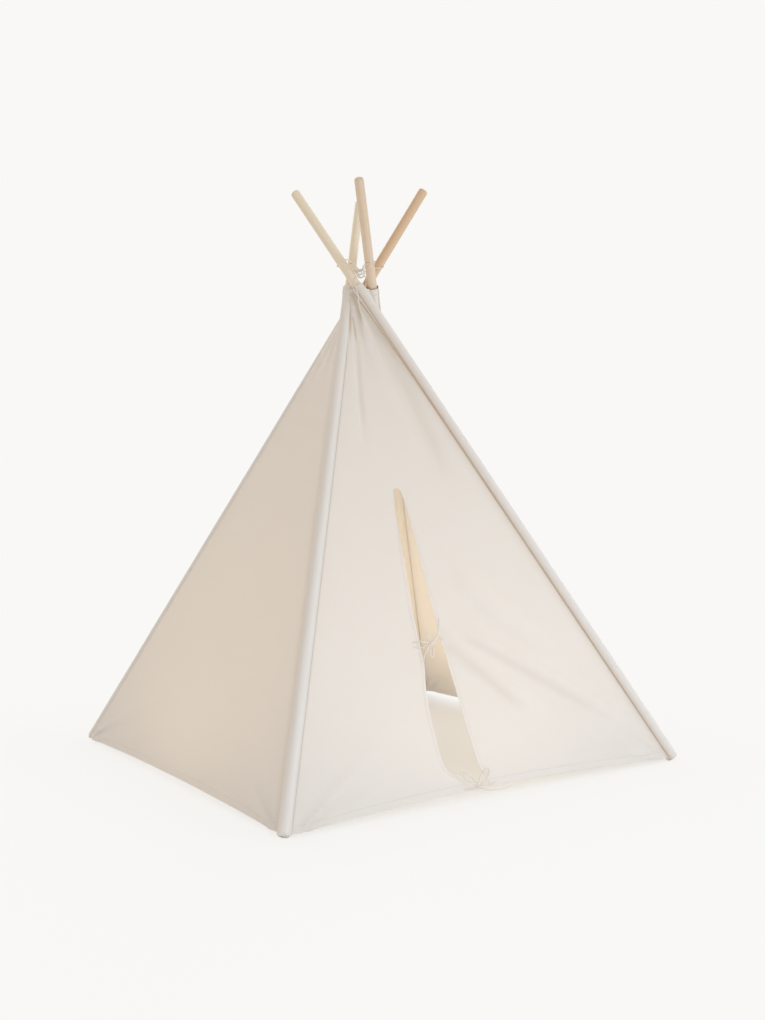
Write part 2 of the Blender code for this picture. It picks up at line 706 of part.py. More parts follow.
def main():
    clear_scene()
    corners = [Corner(number) for number in range(4)]
    lashing(corners)
    hubs = []
    for number, corner in enumerate(corners):
        name = CORNERS[number]
        hub = empty(name + "_hinge", corner.frame(corner.hole))
        hubs.append(hub)
        lower_pole(corner, name + "_lower_pole", hub)
        upper_pole(corner, name + "_upper_pole", hub)
        ferrule(corner, name + "_ferrule", hub)
        sleeve(corner, name + "_sleeve", hub)
    front_walls(hubs, corners)
    for number in (1, 2, 3):
        plain_walls(number, hubs, corners)
    flaps = []
    for side, at, name in ((-1, 0, "left_door_flap"), (1, 1, "right_door_flap")):
        foot, up = flap_line(side)
        turn = Vector((0, 0, 1)).rotation_difference(up).to_matrix().to_4x4()
        pivot = empty(name + "_hinge", Matrix.Translation(foot) @ turn, hubs[at])
        flaps.append(pivot)
        door_flap(side, name, pivot)
    bow("middle_bow_knot", MIDDLE_KNOT, MIDDLE_LOOPS, MIDDLE_ENDS, MIDDLE_RIGHT_END, flaps)
    bow("bottom_bow_knot", BOTTOM_KNOT, BOTTOM_LOOPS, BOTTOM_ENDS, BOTTOM_RIGHT_END, flaps)
    bpy.context.view_layer.update()


main()
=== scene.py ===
"""Looks of a kids' play teepee: round pine poles laced together near their tops, a cotton canvas cover with
a sewn pocket down each pole, a slit door with two tie bows, a pale floor and soft light.

Metres, +Z up, floor at z = 0, door facing -Y, pole crossing over the origin.
"""

import math

import bmesh
import bpy
import numpy as np
from mathutils import Matrix, Vector, noise


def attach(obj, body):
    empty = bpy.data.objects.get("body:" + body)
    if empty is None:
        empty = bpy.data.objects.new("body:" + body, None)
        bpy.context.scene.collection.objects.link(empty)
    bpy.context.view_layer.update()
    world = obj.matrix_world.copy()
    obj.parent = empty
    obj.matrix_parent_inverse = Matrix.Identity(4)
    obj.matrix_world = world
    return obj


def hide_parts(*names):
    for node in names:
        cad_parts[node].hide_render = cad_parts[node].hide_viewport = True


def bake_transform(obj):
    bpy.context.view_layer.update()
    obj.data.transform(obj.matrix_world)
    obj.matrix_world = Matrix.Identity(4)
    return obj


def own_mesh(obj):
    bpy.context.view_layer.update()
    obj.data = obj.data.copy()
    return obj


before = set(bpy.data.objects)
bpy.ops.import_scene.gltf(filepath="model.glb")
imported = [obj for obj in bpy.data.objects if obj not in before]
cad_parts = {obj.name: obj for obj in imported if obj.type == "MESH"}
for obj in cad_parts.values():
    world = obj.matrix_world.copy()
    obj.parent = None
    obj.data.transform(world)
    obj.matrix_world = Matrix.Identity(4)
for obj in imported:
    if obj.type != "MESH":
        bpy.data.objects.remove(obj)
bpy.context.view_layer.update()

MM = 0.001

# The photograph's view: its height in pixels, and where the camera stood
IMAGE_HEIGHT = 1020
FOCAL_PIXELS = 1305.0
SENSOR = 36.0
CLIP_START = 0.05
CLIP_END = 60.0
CAMERA_PLACE = Vector((-1.8584, -2.9881, 0.8417))
CAMERA_FORWARD = Vector((0.53894, 0.84064, -0.05352))
CAMERA_UP = Vector((0.04266, 0.03622, 0.99843))

# Sizes shared with the part
BASE_SIDE = 1.150
CROSSING_HEIGHT = 1.247
CROSSING_OFFSET = 32.2 * MM
HOLE_HEIGHT = 1.314
FIT_GAP = 0.3 * MM
POLE_RADIUS = 12.5 * MM
POLE_LENGTH = 1.790
TOP_ROUND = 7.0 * MM
HOLE_DIAMETER = 5.0 * MM
SLEEVE_OUTER = 15.4 * MM
SLEEVE_TOP_HEIGHT = 1.250
SLEEVE_END_ROUND = 7.0 * MM
SOLID_CLOTH = 1.5 * MM
HEM_HEIGHT = 9.0 * MM
WALL_TOP_HEIGHT = 1.243
GROOVE_DEPTH = 10.5 * MM
SLIT_X = -58.5 * MM
SLIT_TOP_HEIGHT = 0.720
SLIT_TOP_ROUND = 9.0 * MM
SLIT_TOP_HALF_WIDTH = 11.0 * MM
LEFT_BOW = 86.5 * MM
RIGHT_BOW = 34.5 * MM
LEFT_HINGE_FOOT = -0.385
RIGHT_HINGE_FOOT = 0.300
FLOOR_FLAT_DEPTH = 0.5 * MM

# Folds in the canvas
HEM_BOW = {"front": 20.0 * MM, "right": 10.0 * MM, "back": 5.0 * MM, "left": 10.0 * MM}
HEM_BOW_REACH = 0.45          # the height at which the hem's bow has died out
SAG = 6.0 * MM
GATHER = 4.0 * MM
GATHER_FOOT_HEIGHT = 0.930
GATHER_FULL_HEIGHT = 1.170
GATHER_WAVES = 2.5
EDGE_FADE_WIDTH = 46.0 * MM
CLOSE_FADE_WIDTH = 16.0 * MM
DEEP_VALLEY = 10.0 * MM
FOLD_START_SHARE = 0.15
FOLD_END_SHARE = 0.35
# Start, end, height and half width of each: four ridges beside the slit, then two valleys under the crossing
FRONT_FOLDS = (
    ((-0.055, 0.372), (0.205, 0.135), 15.0 * MM, 27.0 * MM),
    ((-0.010, 0.392), (0.500, 0.078), 17.0 * MM, 27.0 * MM),
    ((0.030, 0.520), (0.330, 0.215), 10.0 * MM, 30.0 * MM),
    ((0.205, 0.050), (0.535, 0.036), 5.0 * MM, 12.0 * MM),
    ((-0.036, 1.195), (-0.125, 0.800), -7.0 * MM, 8.0 * MM),
    ((-0.010, 1.190), (0.110, 0.700), -12.0 * MM, 26.0 * MM),
)
CORNER_FOLD = 7.0 * MM
CORNER_FOLD_START = 60.0 * MM
CORNER_FOLD_REACH = 0.460
CORNER_FOLD_SPREAD_DEG = 5.0
CORNER_FOLD_ANGLES_DEG = (14.0, 33.0)
CRUMPLE = 0.8 * MM
CRUMPLE_BROAD = (5.0, 3.5)    # its unevenness a metre, across and up
CRUMPLE_CLOSE = (17.0, 12.0)
CRUMPLE_CLOSE_SHARE = 0.4
EDGE_HALVINGS = 30

# Canvas as sewn
CLOTH = 1.1 * MM
HEM_CLOTH = 2.0 * MM
HEM_STEP = 0.8 * MM
HEM_ROLL = 0.35               # share of a hem's thickness that is rounded off at its folded edge
HEM_ROLL_WIDTH = 1.2 * MM
HEM_WIDTH = 18.0 * MM
EDGE_HEM_WIDTH = 9.0 * MM
SEAM_OFFSET = 10.5 * MM       # a pocket's stitched line, beside its pole's axis
SEAM_GROOVE = 1.3 * MM
SEAM_GROOVE_WIDTH = 2.2 * MM
# Painted shade along a pocket's stitched line; the doubled cloth there also lets less light through
SEAM_SHADE = 0.55
SEAM_SHADE_WIDTH = 1.3 * MM
# Painted shade in the groove where a wall lies against a pocket, and a wider painted shadow that the pocket
# casts beside it
GROOVE_SHADE = 0.66
GROOVE_SHADE_WIDTH = 3.6 * MM
GROOVE_PAINTED_SHADOW = 0.24
GROOVE_PAINTED_SHADOW_WIDTH = 18.0 * MM
# Painted shade over a pocket's inside, seen in its mouth, where the narrow gap round the pole lies in shade
MOUTH_SHADE = 0.75
INNER_SHADE_SHARE = 12.0      # how much faster a groove's shade ends on the side that faces into the tent
# Painted shade in the front wall's valleys, full where a valley is as deep as DEEP_VALLEY
VALLEY_SHADE = 0.10
CREASE_START_SHARE = 0.1
CREASE_END_SHARE = 0.4
# Painted shade along lines: four creases under the crossing, then two broad bands on the right flap.
# Start, end, half width and shade of each
PAINTED_CREASE_SHADES = (
    ((-0.0290, 1.2250), (-0.0760, 1.0880), 3.0 * MM, 0.75),
    ((-0.0235, 1.2400), (-0.0252, 1.1300), 3.0 * MM, 0.60),
    ((-0.0420, 1.1720), (-0.0560, 1.0900), 2.5 * MM, 0.60),
    ((-0.0300, 1.1950), (-0.0330, 1.0900), 6.0 * MM, 0.22),
    ((0.0020, 0.3640), (0.4240, 0.0928), 22.0 * MM, 0.11),
    ((-0.0400, 0.3500), (0.1450, 0.1430), 17.0 * MM, 0.11),
)
STITCH_LENGTH = 3.4 * MM
STITCH_PITCH = 4.8 * MM
STITCH_RADIUS = 0.45 * MM
STITCH_SIDES = 6
STITCH_SHAPE = ((-0.5, 0.35), (-0.36, 0.9), (0.0, 1.0), (0.36, 0.9), (0.5, 0.35))   # place, thickness
STITCH_SINK = 1.2             # how deep its ends are in the cloth, in its radius
STITCH_BED = 0.1 * MM
HEM_STITCH_HEIGHT = 14.5 * MM
HEM_STITCH_INSET = 14 * MM
EDGE_STITCH_PLACE = 7.2 * MM
EDGE_STITCH_INSET = 8 * MM
EDGE_STITCH_START = 4         # the row at which a free edge's stitches start
CLOTH_CLEARANCE = 0.1 * MM    # between a pocket and the wall that lies against it

# Cords
CORD_DIAMETER = 3.0 * MM
CORD_STEP = 1.3 * MM
CORD_SIDES = 12
CORD_STRANDS = 3
CORD_LAY = 9.0 * MM
CORD_GROOVE_SHARE = 0.16
BOW_KNOT_STEPS = 60
BOW_KNOT_SHARE = 0.97         # how much of its closed path the cord goes
BOW_KNOT_WEAVE = 1.6
BOW_KNOT_SIZE = (1.55 * MM, 1.35 * MM, 1.6 * MM)
FRONT_SLOPE = (0.0, 0.38, 0.925)
BOW_STEP = 1.2 * MM           # how far over or under its knot a bow's cord passes
TIE_STEP = 3.0 * MM
LASHING_KNOT_RADIUS = 12.0 * MM
LASHING_KNOT_HEIGHT = 1.288
KNOT_STEPS = 200
KNOT_TURNS = 4.1
KNOT_RING_RADIUS = 5.4 * MM
KNOT_WIDE_RADIUS = 11.0 * MM
KNOT_RING_SHIFT = 3.0 * MM
KNOT_RING_DEPTH = 8.0 * MM
KNOT_WIDE_DEPTH = 5.0 * MM
KNOT_SHARES = (1.0, 1.0, 0.8)
KNOT_WOBBLE = 0.8 * MM
KNOT_WIDE_START = 0.42        # the share of the cord at which its turns start to widen
KNOT_WIDE_OVER = 0.12
KNOT_FACING = (-0.45, -0.85, 0.25)
KNOT_COVER = 1.5 * MM

# The slit's free edges: shares of its height, and of how far each edge bows away from the slit's line
LEFT_EDGE_SHARES = (
    (0.0, 0.100), (0.020, 0.300), (0.040, 0.545),
    (0.063, 0.825), (0.085, 0.925), (0.13, 0.955),
    (0.18, 0.950), (0.24, 0.920), (0.32, 0.835),
    (0.42, 0.640), (0.487, 0.600), (0.55, 0.575),
    (0.716, 0.420), (0.854, 0.295), (0.92, 0.224),
    (0.96, 0.162), (1.0, 0.091),
)
RIGHT_EDGE_SHARES = (
    (0.0, 0.930), (0.024, 0.850), (0.046, 0.580),
    (0.083, 0.420), (0.132, 0.360), (0.186, 0.335),
    (0.286, 0.350), (0.367, 0.320), (0.427, 0.300),
    (0.484, 0.215), (0.552, 0.350), (0.66, 0.360),
    (0.94, 0.410), (0.97, 0.370), (1.0, 0.219),
)

FLAP_TOP_HEIGHT = SLIT_TOP_HEIGHT - SLIT_TOP_ROUND
CORNERS = ("front_left", "front_right", "back_right", "back_left")
WALLS = ("front", "right", "back", "left")
FOLD_LIMIT = math.radians(-26.0)
FOLD_MATCH_HEIGHT = 0.3       # where the two halves of a wall meet exactly when the poles are closed
LEAST_KEPT = 0.02

# Poles
FOOT_ROUND = 3.5 * MM
POLE_RING_STEP = 0.3          # between the rings of an upper half
POLE_SIDES = 48
WOOD_SHARP = math.radians(35)

# Floor and light. Each lamp's name, place, the point that it faces, size, power and colour
FLOOR_REACH = 14.0
SURROUND_TONE = (1.0, 0.925, 0.845)
SURROUND_LIGHT = 0.69
LAMPS = (
    ("key_side", (2.3, -2.7, 1.9), (0.0, -0.4, 0.35), 0.9, 24.0, (0.72, 0.86, 1.0)),
    ("door_side", (-0.15, -1.55, 0.03), (0.0, -0.6, 0.08), 1.3, 4.5, (0.60, 0.79, 1.0)),
    ("right_side", (4.2, 1.2, 2.6), (0, 0, 0.5), 2.4, 24.0, (0.97, 0.98, 1.0)),
    ("back_side", (0.6, 4.2, 2.6), (0, 0, 0.5), 2.4, 45.0, (0.97, 0.98, 1.0)),
    ("floor_bounce", (0, 0, 0.012), (0, 0, 1), 1.04, 2.45, (1.0, 0.84, 0.62)),
)


def unit(v):
    v = np.asarray(v, float)
    return v / np.linalg.norm(v)


def smooth(x):
    x = np.clip(x, 0.0, 1.0)
    return x * x * (3 - 2 * x)


def hump(x):
    return np.exp(-np.square(x))


def smooth_curve(table, x):
    """A curve through (x, y) pairs, with the slope at each taken from its neighbours."""
    places = [p for p, _ in table]
    values = [v for _, v in table]
    slopes = np.gradient(values, places)
    n = min(max(int(np.searchsorted(places, x)) - 1, 0), len(places) - 2)
    step = places[n + 1] - places[n]
    t = (x - places[n]) / step
    a = values[n] * (1 + 2 * t) * (1 - t) ** 2 + values[n + 1] * t * t * (3 - 2 * t)
    return a + step * (slopes[n] * t * (1 - t) ** 2 - slopes[n + 1] * t * t * (1 - t))


class Corner:
    """One pole's axis: its foot, its direction, and the hinge axis through its cord hole."""

    def __init__(self, number):
        angle = math.radians(225 + 90 * number)
        outward = np.array((math.cos(angle), math.sin(angle), 0.0))
        sideways = np.array((outward[1], -outward[0], 0.0))
        self.name = CORNERS[number % 4]
        self.foot = outward * BASE_SIDE / math.sqrt(2)
        self.rise = sideways * CROSSING_OFFSET + (0, 0, CROSSING_HEIGHT) - self.foot
        self.up = unit(self.rise)
        self.tilt = math.acos(self.up[2])
        self.hole = self.at(HOLE_HEIGHT)
        self.hinge = unit((-self.up[1], self.up[0], 0.0))
        turn = Matrix((self.hinge, np.cross(self.up, self.hinge), self.up)).transposed()
        self.turn = turn.to_4x4()

    def at(self, height):
        return self.foot + self.rise * (height / CROSSING_HEIGHT)

    def frame(self, origin):
        """A matrix whose Z runs up the pole and whose X is the hinge axis."""
        return Matrix.Translation(origin) @ self.turn

    def distance(self, point):
        return np.linalg.norm(np.cross(point - self.foot, self.up))

    def folded(self, point):
        """Where a point that rides on this corner goes when the poles are closed together."""
        turn = np.array(Matrix.Rotation(FOLD_LIMIT, 3, Vector(self.hinge)))
        return self.hole + turn @ (np.asarray(point) - self.hole)


class Wall:
    """The canvas between two sleeves. A point on it has a share of the way across, and a height."""

    def __init__(self, number):
        self.number = number
        self.name = WALLS[number]
        self.near = Corner(number)
        self.far = Corner(number + 1)

    def width(self, height):
        return np.linalg.norm(self.far.at(height) - self.near.at(height))

    def surface(self, shares, height, lift=0.0):
        """Points of the folded canvas at some shares across, at one height, and lifted off it."""
        shares = np.atleast_1d(np.asarray(shares, float))
        a = self.near.at(height)
        across = self.far.at(height) - a
        outward = unit((across[1], -across[0], 0.0))
        normal = unit(np.cross(across, self.near.rise + self.far.rise))
        out = SLEEVE_OUTER - SOLID_CLOTH / 2 - GROOVE_DEPTH * shares + self.fold(shares, height)
        arch = np.sin(math.pi * np.clip(shares, 0, 1))
        rise = HEM_BOW[self.name] * arch * (1 - smooth(height / HEM_BOW_REACH))
        lifted = np.outer(lift * np.ones(len(shares)), normal) + np.outer(rise, (0, 0, 1))
        return a + shares[:, None] * across + out[:, None] * outward + lifted

    def edge(self, height, corner, distance, low, high):
        """The share where the stretched canvas is a distance from a corner's axis."""
        a = self.near.at(height)
        across = self.far.at(height) - a
        outward = unit((across[1], -across[0], 0.0))
        for _ in range(EDGE_HALVINGS):
            middle = (low + high) / 2
            out = SLEEVE_OUTER - SOLID_CLOTH / 2 - GROOVE_DEPTH * middle
            if corner.distance(a + across * middle + outward * out) < distance:
                low = middle
            else:
                high = middle
        return high

    def share_of_x(self, x, height):
        """For the front wall: the share at a place measured from its middle."""
        a = self.near.at(height)[0]
        return (x - a) / (self.far.at(height)[0] - a)

    def x_of_share(self, shares, height):
        a = self.near.at(height)[0]
        return a + shares * (self.far.at(height)[0] - a)

    def seam(self, height):
        """Where the two halves meet: from the slit's top on the front wall, or the middle."""
        if self.name != "front":
            return 0.5
        start = self.share_of_x(SLIT_X, SLIT_TOP_HEIGHT)
        rise = (height - SLIT_TOP_HEIGHT) / (WALL_TOP_HEIGHT - SLIT_TOP_HEIGHT)
        return start + (0.5 - start) * rise

    def fold(self, shares, height):
        """How far the canvas stands out from its stretched shape, fading out at the sleeves."""
        low = self.edge(height, self.near, SLEEVE_OUTER + SOLID_CLOTH / 2, 0.0, 0.5)
        high = self.edge(height, self.far, SLEEVE_OUTER + SOLID_CLOTH / 2, 1.0, 0.5)
        width = self.width(height)
        inside = np.minimum(shares - low, high - shares)
        fade = smooth(inside * width / EDGE_FADE_WIDTH)
        total = -SAG * np.sin(math.pi * np.clip(shares, 0, 1)) * math.sin(math.pi * height / CROSSING_HEIGHT)
        gather = smooth((height - GATHER_FOOT_HEIGHT) / (GATHER_FULL_HEIGHT - GATHER_FOOT_HEIGHT))
        across = (shares - low) / (high - low)
        total = total + GATHER * gather * np.sin(2 * math.pi * GATHER_WAVES * across)
        for side, foot in ((1, 0.0), (-1, width)):
            away = side * (shares * width - foot)
            length = np.hypot(away, height)
            angle = np.degrees(np.arctan2(height, away))
            reach = smooth(length / CORNER_FOLD_START) * (1 - smooth(length / CORNER_FOLD_REACH))
            for line in CORNER_FOLD_ANGLES_DEG:
                total = total + CORNER_FOLD * reach * hump((angle - line) / CORNER_FOLD_SPREAD_DEG)
        close = smooth(inside * width / CLOSE_FADE_WIDTH)
        folds = self.front_fold(shares, height) * close
        return total * fade + folds + self.fine_fold(shares, height, width) * fade

    def front_fold(self, shares, height):
        """The ridges that run from the bows across the right flap, and the valleys under the crossing."""
        total = np.zeros_like(shares)
        if self.name != "front":
            return total
        x = self.x_of_share(shares, height)
        for start, end, tall, wide in FRONT_FOLDS:
            line = np.subtract(end, start)
            t = ((x - start[0]) * line[0] + (height - start[1]) * line[1]) / (line @ line)
            off = np.hypot(x - start[0] - line[0] * t, height - start[1] - line[1] * t) / wide
            ends = smooth(t / FOLD_START_SHARE) * smooth((1 - t) / FOLD_END_SHARE)
            total = total + tall * hump(off) * ends
        return total

    def front_shade(self, shares, height):
        """The painted shade of the front wall's folds: a little in its valleys, and more along its creases.
        """
        total = VALLEY_SHADE * np.clip(-self.front_fold(shares, height) / DEEP_VALLEY, 0, 1)
        if self.name != "front":
            return total
        x = self.x_of_share(shares, height)
        for start, end, wide, dark in PAINTED_CREASE_SHADES:
            t = (height - start[1]) / (end[1] - start[1])
            off = (x - start[0] - (end[0] - start[0]) * t) / wide
            ends = smooth(t / CREASE_START_SHARE) * smooth((1 - t) / CREASE_END_SHARE)
            total = total + dark * hump(off) * ends
        return total

    def fine_fold(self, shares, height, width):
        """A slight unevenness, as cotton has after it was folded away."""
        found = []
        for share in shares:
            x = share * width + 10 * self.number
            broad = noise.noise(Vector((x * CRUMPLE_BROAD[0], height * CRUMPLE_BROAD[1], 0.0)))
            close = noise.noise(Vector((x * CRUMPLE_CLOSE[0], height * CRUMPLE_CLOSE[1], 4.0)))
            found.append(CRUMPLE * (broad + CRUMPLE_CLOSE_SHARE * close))
        return np.array(found)


FRONT = Wall(0)


def slit_height_share(height):
    return (height - HEM_HEIGHT) / (SLIT_TOP_HEIGHT - HEM_HEIGHT)


def hinge_x(side, height):
    """Where a flap's fold line, or the slit's round top above it, crosses a height."""
    foot = LEFT_HINGE_FOOT if side < 0 else RIGHT_HINGE_FOOT
    top = SLIT_X + side * SLIT_TOP_HALF_WIDTH
    if height <= FLAP_TOP_HEIGHT:
        return foot + (top - foot) * (height - HEM_HEIGHT) / (FLAP_TOP_HEIGHT - HEM_HEIGHT)
    rise = min((height - FLAP_TOP_HEIGHT) / SLIT_TOP_ROUND, 1.0)
    return SLIT_X + side * SLIT_TOP_HALF_WIDTH * math.sqrt(1 - rise * rise)


def free_edge_x(side, height):
    table, bow = (LEFT_EDGE_SHARES, LEFT_BOW) if side < 0 else (RIGHT_EDGE_SHARES, RIGHT_BOW)
    return SLIT_X + side * FIT_GAP / 2 + side * bow * smooth_curve(table, slit_height_share(height))


def at_front(x, height, lift):
    return Vector(FRONT.surface(FRONT.share_of_x(x, height), height, lift)[0])


class Value:
    """A node's output, on which plain arithmetic adds Math nodes."""

    def __init__(self, finish, socket):
        self.finish = finish
        self.socket = socket

    def math(self, operation, *others, clamp=False):
        settings = {"operation": operation, "use_clamp": clamp}
        return self.finish.node("ShaderNodeMath", settings, dict(enumerate((self, *others))))

    def __add__(self, other):
        return self.math("ADD", other)

    def __sub__(self, other):
        return self.math("SUBTRACT", other)

    def __mul__(self, other):
        return self.math("MULTIPLY", other)

    def __truediv__(self, other):
        return self.math("DIVIDE", other)

    def __rsub__(self, other):
        return self.finish.node("ShaderNodeMath", {"operation": "SUBTRACT"}, {0: other, 1: self})

    __radd__ = __add__
    __rmul__ = __mul__

    def sine(self):
        return self.math("SINE")

    def clamped(self):
        return self.math("ADD", 0.0, clamp=True)


class Finish:
    """A material's nodes, or the world's, under construction."""

    def __init__(self, owner, output="ShaderNodeOutputMaterial"):
        self.owner = owner
        owner.use_nodes = True
        self.tree = owner.node_tree
        self.tree.nodes.clear()
        self.output = self.tree.nodes.new(output)

    def node(self, kind, settings=None, values=None, out=0):
        """Adds a node: its settings first, then its sockets' values or links. Gives back one output."""
        node = self.tree.nodes.new(kind)
        for name, setting in (settings or {}).items():
            if name == "stops":
                self.set_stops(node.color_ramp, setting)
            else:
                setattr(node, name, setting)
        for name, value in (values or {}).items():
            socket = node.inputs[name]
            if isinstance(value, Value):
                self.tree.links.new(value.socket, socket)
            else:
                socket.default_value = value
        return Value(self, node.outputs[out])

    def set_stops(self, ramp, stops):
        while len(ramp.elements) > 1:
            ramp.elements.remove(ramp.elements[-1])
        for n, (place, colour) in enumerate(stops):
            element = ramp.elements[0] if n == 0 else ramp.elements.new(place)
            element.position = place
            element.color = (*colour, 1.0)

    def mix(self, factor, a, b):
        """Two colours mixed by a factor."""
        a, b = [colour if isinstance(colour, Value) else (*colour, 1.0) for colour in (a, b)]
        return self.node("ShaderNodeMix", {"data_type": "RGBA"}, {0: factor, 6: a, 7: b}, out=2)

    def scaled(self, vector, scale):
        return self.node("ShaderNodeVectorMath", {"operation": "MULTIPLY"}, {0: vector, 1: scale})

    def parts(self, vector):
        """A vector's X, Y and Z."""
        x = self.node("ShaderNodeSeparateXYZ", {}, {0: vector})
        return [Value(self, output) for output in x.socket.node.outputs]

    def speckle(self, vector, scale, detail=2.0, roughness=0.5):
        """Noise from 0 to 1."""
        values = {"Vector": vector, "Scale": scale, "Detail": detail, "Roughness": roughness}
        return self.node("ShaderNodeTexNoise", {}, values)

    def bump(self, height, distance, normal=None, strength=1.0):
        values = {"Height": height, "Distance": distance, "Strength": strength}
        if normal:
            values["Normal"] = normal
        return self.node("ShaderNodeBump", {}, values)

    def place(self):
        return self.node("ShaderNodeTexCoord", out="Object")

    def principled(self, **values):
        named = {key.replace("_", " "): value for key, value in values.items()}
        return self.node("ShaderNodeBsdfPrincipled", {}, named)

    def done(self, shader):
        self.tree.links.new(shader.socket, self.output.inputs["Surface"])
        return self.owner


THREAD = 1.1 * MM
THREAD_CELLS = (900.0, 22.0)  # a thread's unevenness a metre: across it, and along it
THREAD_TONE = (0.975, 0.968, 0.958)
# The dark tan of the painted shade on the canvas
PAINTED_SHADE_TONE = (0.58, 0.42, 0.28)
GLOW_TONES = ((0.975, 0.918, 0.845), (0.985, 0.932, 0.865))
WEAVE_HEIGHT = 0.16 * MM
CREASE_HEIGHT = 0.9 * MM


def canvas_finish(name, thinness, faces):
    """Natural cotton canvas: a plain weave with uneven threads, that lets some warm light through.

    Where its shade attribute is high it is painted darker and more tan, as painted shade, and lets less light
    through, as doubled cloth at a seam does."""
    f = Finish(bpy.data.materials.new(name))
    cloth = f.node("ShaderNodeAttribute", {"attribute_name": "cloth_place"}, {}, out="Vector")
    across, along, _ = f.parts(cloth)
    turn = math.pi / THREAD
    weave = (across * turn).sine() * (along * turn).sine() * 0.5 + 0.5
    warp = f.speckle(f.scaled(cloth, (*THREAD_CELLS, 1.0)), 1.0, 1.0)
    weft = f.speckle(f.scaled(cloth, (*THREAD_CELLS[::-1], 1.0)), 1.0, 1.0)
    clouds = f.speckle(f.scaled(cloth, (3.0, 2.2, 1.0)), 1.0, 3.0)
    threads = (warp * 0.5 + weft * 0.5).clamped()
    tone = f.mix(clouds, *faces)
    tone = f.mix(threads * 0.35, tone, THREAD_TONE)
    # Painted shade: the shade attribute mixes the colour towards a dark tan and cuts the light let through
    seam = f.node("ShaderNodeAttribute", {"attribute_name": "painted_shade"}, {}, out="Fac")
    tone = f.mix(seam, tone, PAINTED_SHADE_TONE)
    height = weave * 0.5 + threads * 0.8
    creases = f.speckle(f.scaled(cloth, (26.0, 20.0, 1.0)), 1.0, 3.0, 0.55)
    creased = f.bump(creases, CREASE_HEIGHT, strength=0.45)
    normal = f.bump(height, WEAVE_HEIGHT, creased, strength=0.6)
    face = f.principled(Base_Color=tone, Roughness=0.93, Normal=normal, Specular_IOR_Level=0.15)
    glow = f.node("ShaderNodeBsdfTranslucent", {}, {"Color": f.mix(clouds, *GLOW_TONES), "Normal": normal})
    return f.done(f.node("ShaderNodeMixShader", {}, {0: thinness * (1 - seam), 1: face, 2: glow}))


def thread_finish():
    f = Finish(bpy.data.materials.new("sewing_thread"))
    place = f.place()
    twist = f.speckle(f.scaled(place, (1400.0, 1400.0, 1400.0)), 1.0, 1.0)
    tone = f.mix(twist, (0.66, 0.58, 0.50), (0.78, 0.71, 0.63))
    return f.done(f.principled(Base_Color=tone, Roughness=0.8, Normal=f.bump(twist, 0.1 * MM)))


def cord_finish():
    """Soft cotton cord: fine fibres over its twisted strands."""
    f = Finish(bpy.data.materials.new("cotton_cord"))
    place = f.place()
    fibres = f.speckle(f.scaled(place, (900.0, 900.0, 300.0)), 1.0, 2.0)
    dirt = f.speckle(place, 40.0, 2.0)
    tone = f.mix(fibres, (0.84, 0.79, 0.74), (0.95, 0.92, 0.89))
    tone = f.mix(dirt * 0.25, tone, (0.70, 0.61, 0.53))
    normal = f.bump(fibres, 0.25 * MM)
    return f.done(f.principled(Base_Color=tone, Roughness=0.9, Normal=normal, Specular_IOR_Level=0.2))


def wood_finish(name, pale, dark):
    """Sanded softwood: long grain along the pole, with a few darker growth lines and pores."""
    f = Finish(bpy.data.materials.new(name))
    place = f.place()
    grain = f.speckle(f.scaled(place, (70.0, 70.0, 2.4)), 1.0, 4.0, 0.6)
    fibres = f.speckle(f.scaled(place, (900.0, 900.0, 18.0)), 1.0, 2.0)
    waver = f.speckle(f.scaled(place, (6.0, 6.0, 1.2)), 1.0, 2.0)
    x, y, _ = f.parts(place)
    rings = ((x * 0.9 + y * 0.5) * 420.0 + waver * 9.0).sine() * 0.5 + 0.5
    lines = rings.math("POWER", 4.0)
    tone = f.node("ShaderNodeValToRGB", {"stops": ((0.25, dark), (0.75, pale))}, {0: grain})
    tone = f.mix(lines * 0.18, tone, tuple(0.84 * c for c in dark))
    tone = f.mix(fibres * 0.12, tone, tuple(1.03 * c for c in pale))
    normal = f.bump(fibres * 0.6 + lines * 0.4, 0.04 * MM)
    rough = fibres * 0.12 + 0.48
    return f.done(f.principled(Base_Color=tone, Roughness=rough, Normal=normal, Specular_IOR_Level=0.35))


def ferrule_finish():
    f = Finish(bpy.data.materials.new("brushed_tube"))
    place = f.place()
    brushed = f.speckle(f.scaled(place, (300.0, 300.0, 2000.0)), 1.0, 2.0)
    tone = f.mix(brushed, (0.56, 0.56, 0.55), (0.68, 0.68, 0.66))
    return f.done(f.principled(Base_Color=tone, Metallic=1.0, Roughness=brushed * 0.15 + 0.28))


BACKDROP = (0.947, 0.939, 0.922)
FLOOR_CLOUDS = (0.93, 0.92, 0.90)
BLEND_START = BASE_SIDE / 2 - 0.10
BLEND_INSIDE = 0.36           # how much of the backdrop's own colour the floor has inside the tent
BLEND_STEPS = ((0.48, 0.11), (0.10, 0.45), (0.06, 0.9))   # what is added to that, over how wide a strip


def floor_finish():
    """Plain pale floor that runs out into the backdrop's own colour."""
    f = Finish(bpy.data.materials.new("pale_floor"))
    place = f.place()
    x, y, _ = f.parts(place)
    away = x.math("ABSOLUTE").math("MAXIMUM", y.math("ABSOLUTE")) - BLEND_START
    far = BLEND_INSIDE
    for share, width in BLEND_STEPS:
        far = far + share * (away / width).clamped()
    mottle = f.speckle(place, 3.0, 2.0)
    tone = f.mix(mottle * 0.1, BACKDROP, FLOOR_CLOUDS)
    matt = f.principled(Base_Color=tone, Roughness=0.9, Specular_IOR_Level=0.0)
    seen = f.node("ShaderNodeLightPath", out="Is Camera Ray")
    plain = f.node("ShaderNodeEmission", {}, {"Color": (*BACKDROP, 1.0), "Strength": 1.0})
    return f.done(f.node("ShaderNodeMixShader", {}, {0: far * seen, 1: matt, 2: plain}))


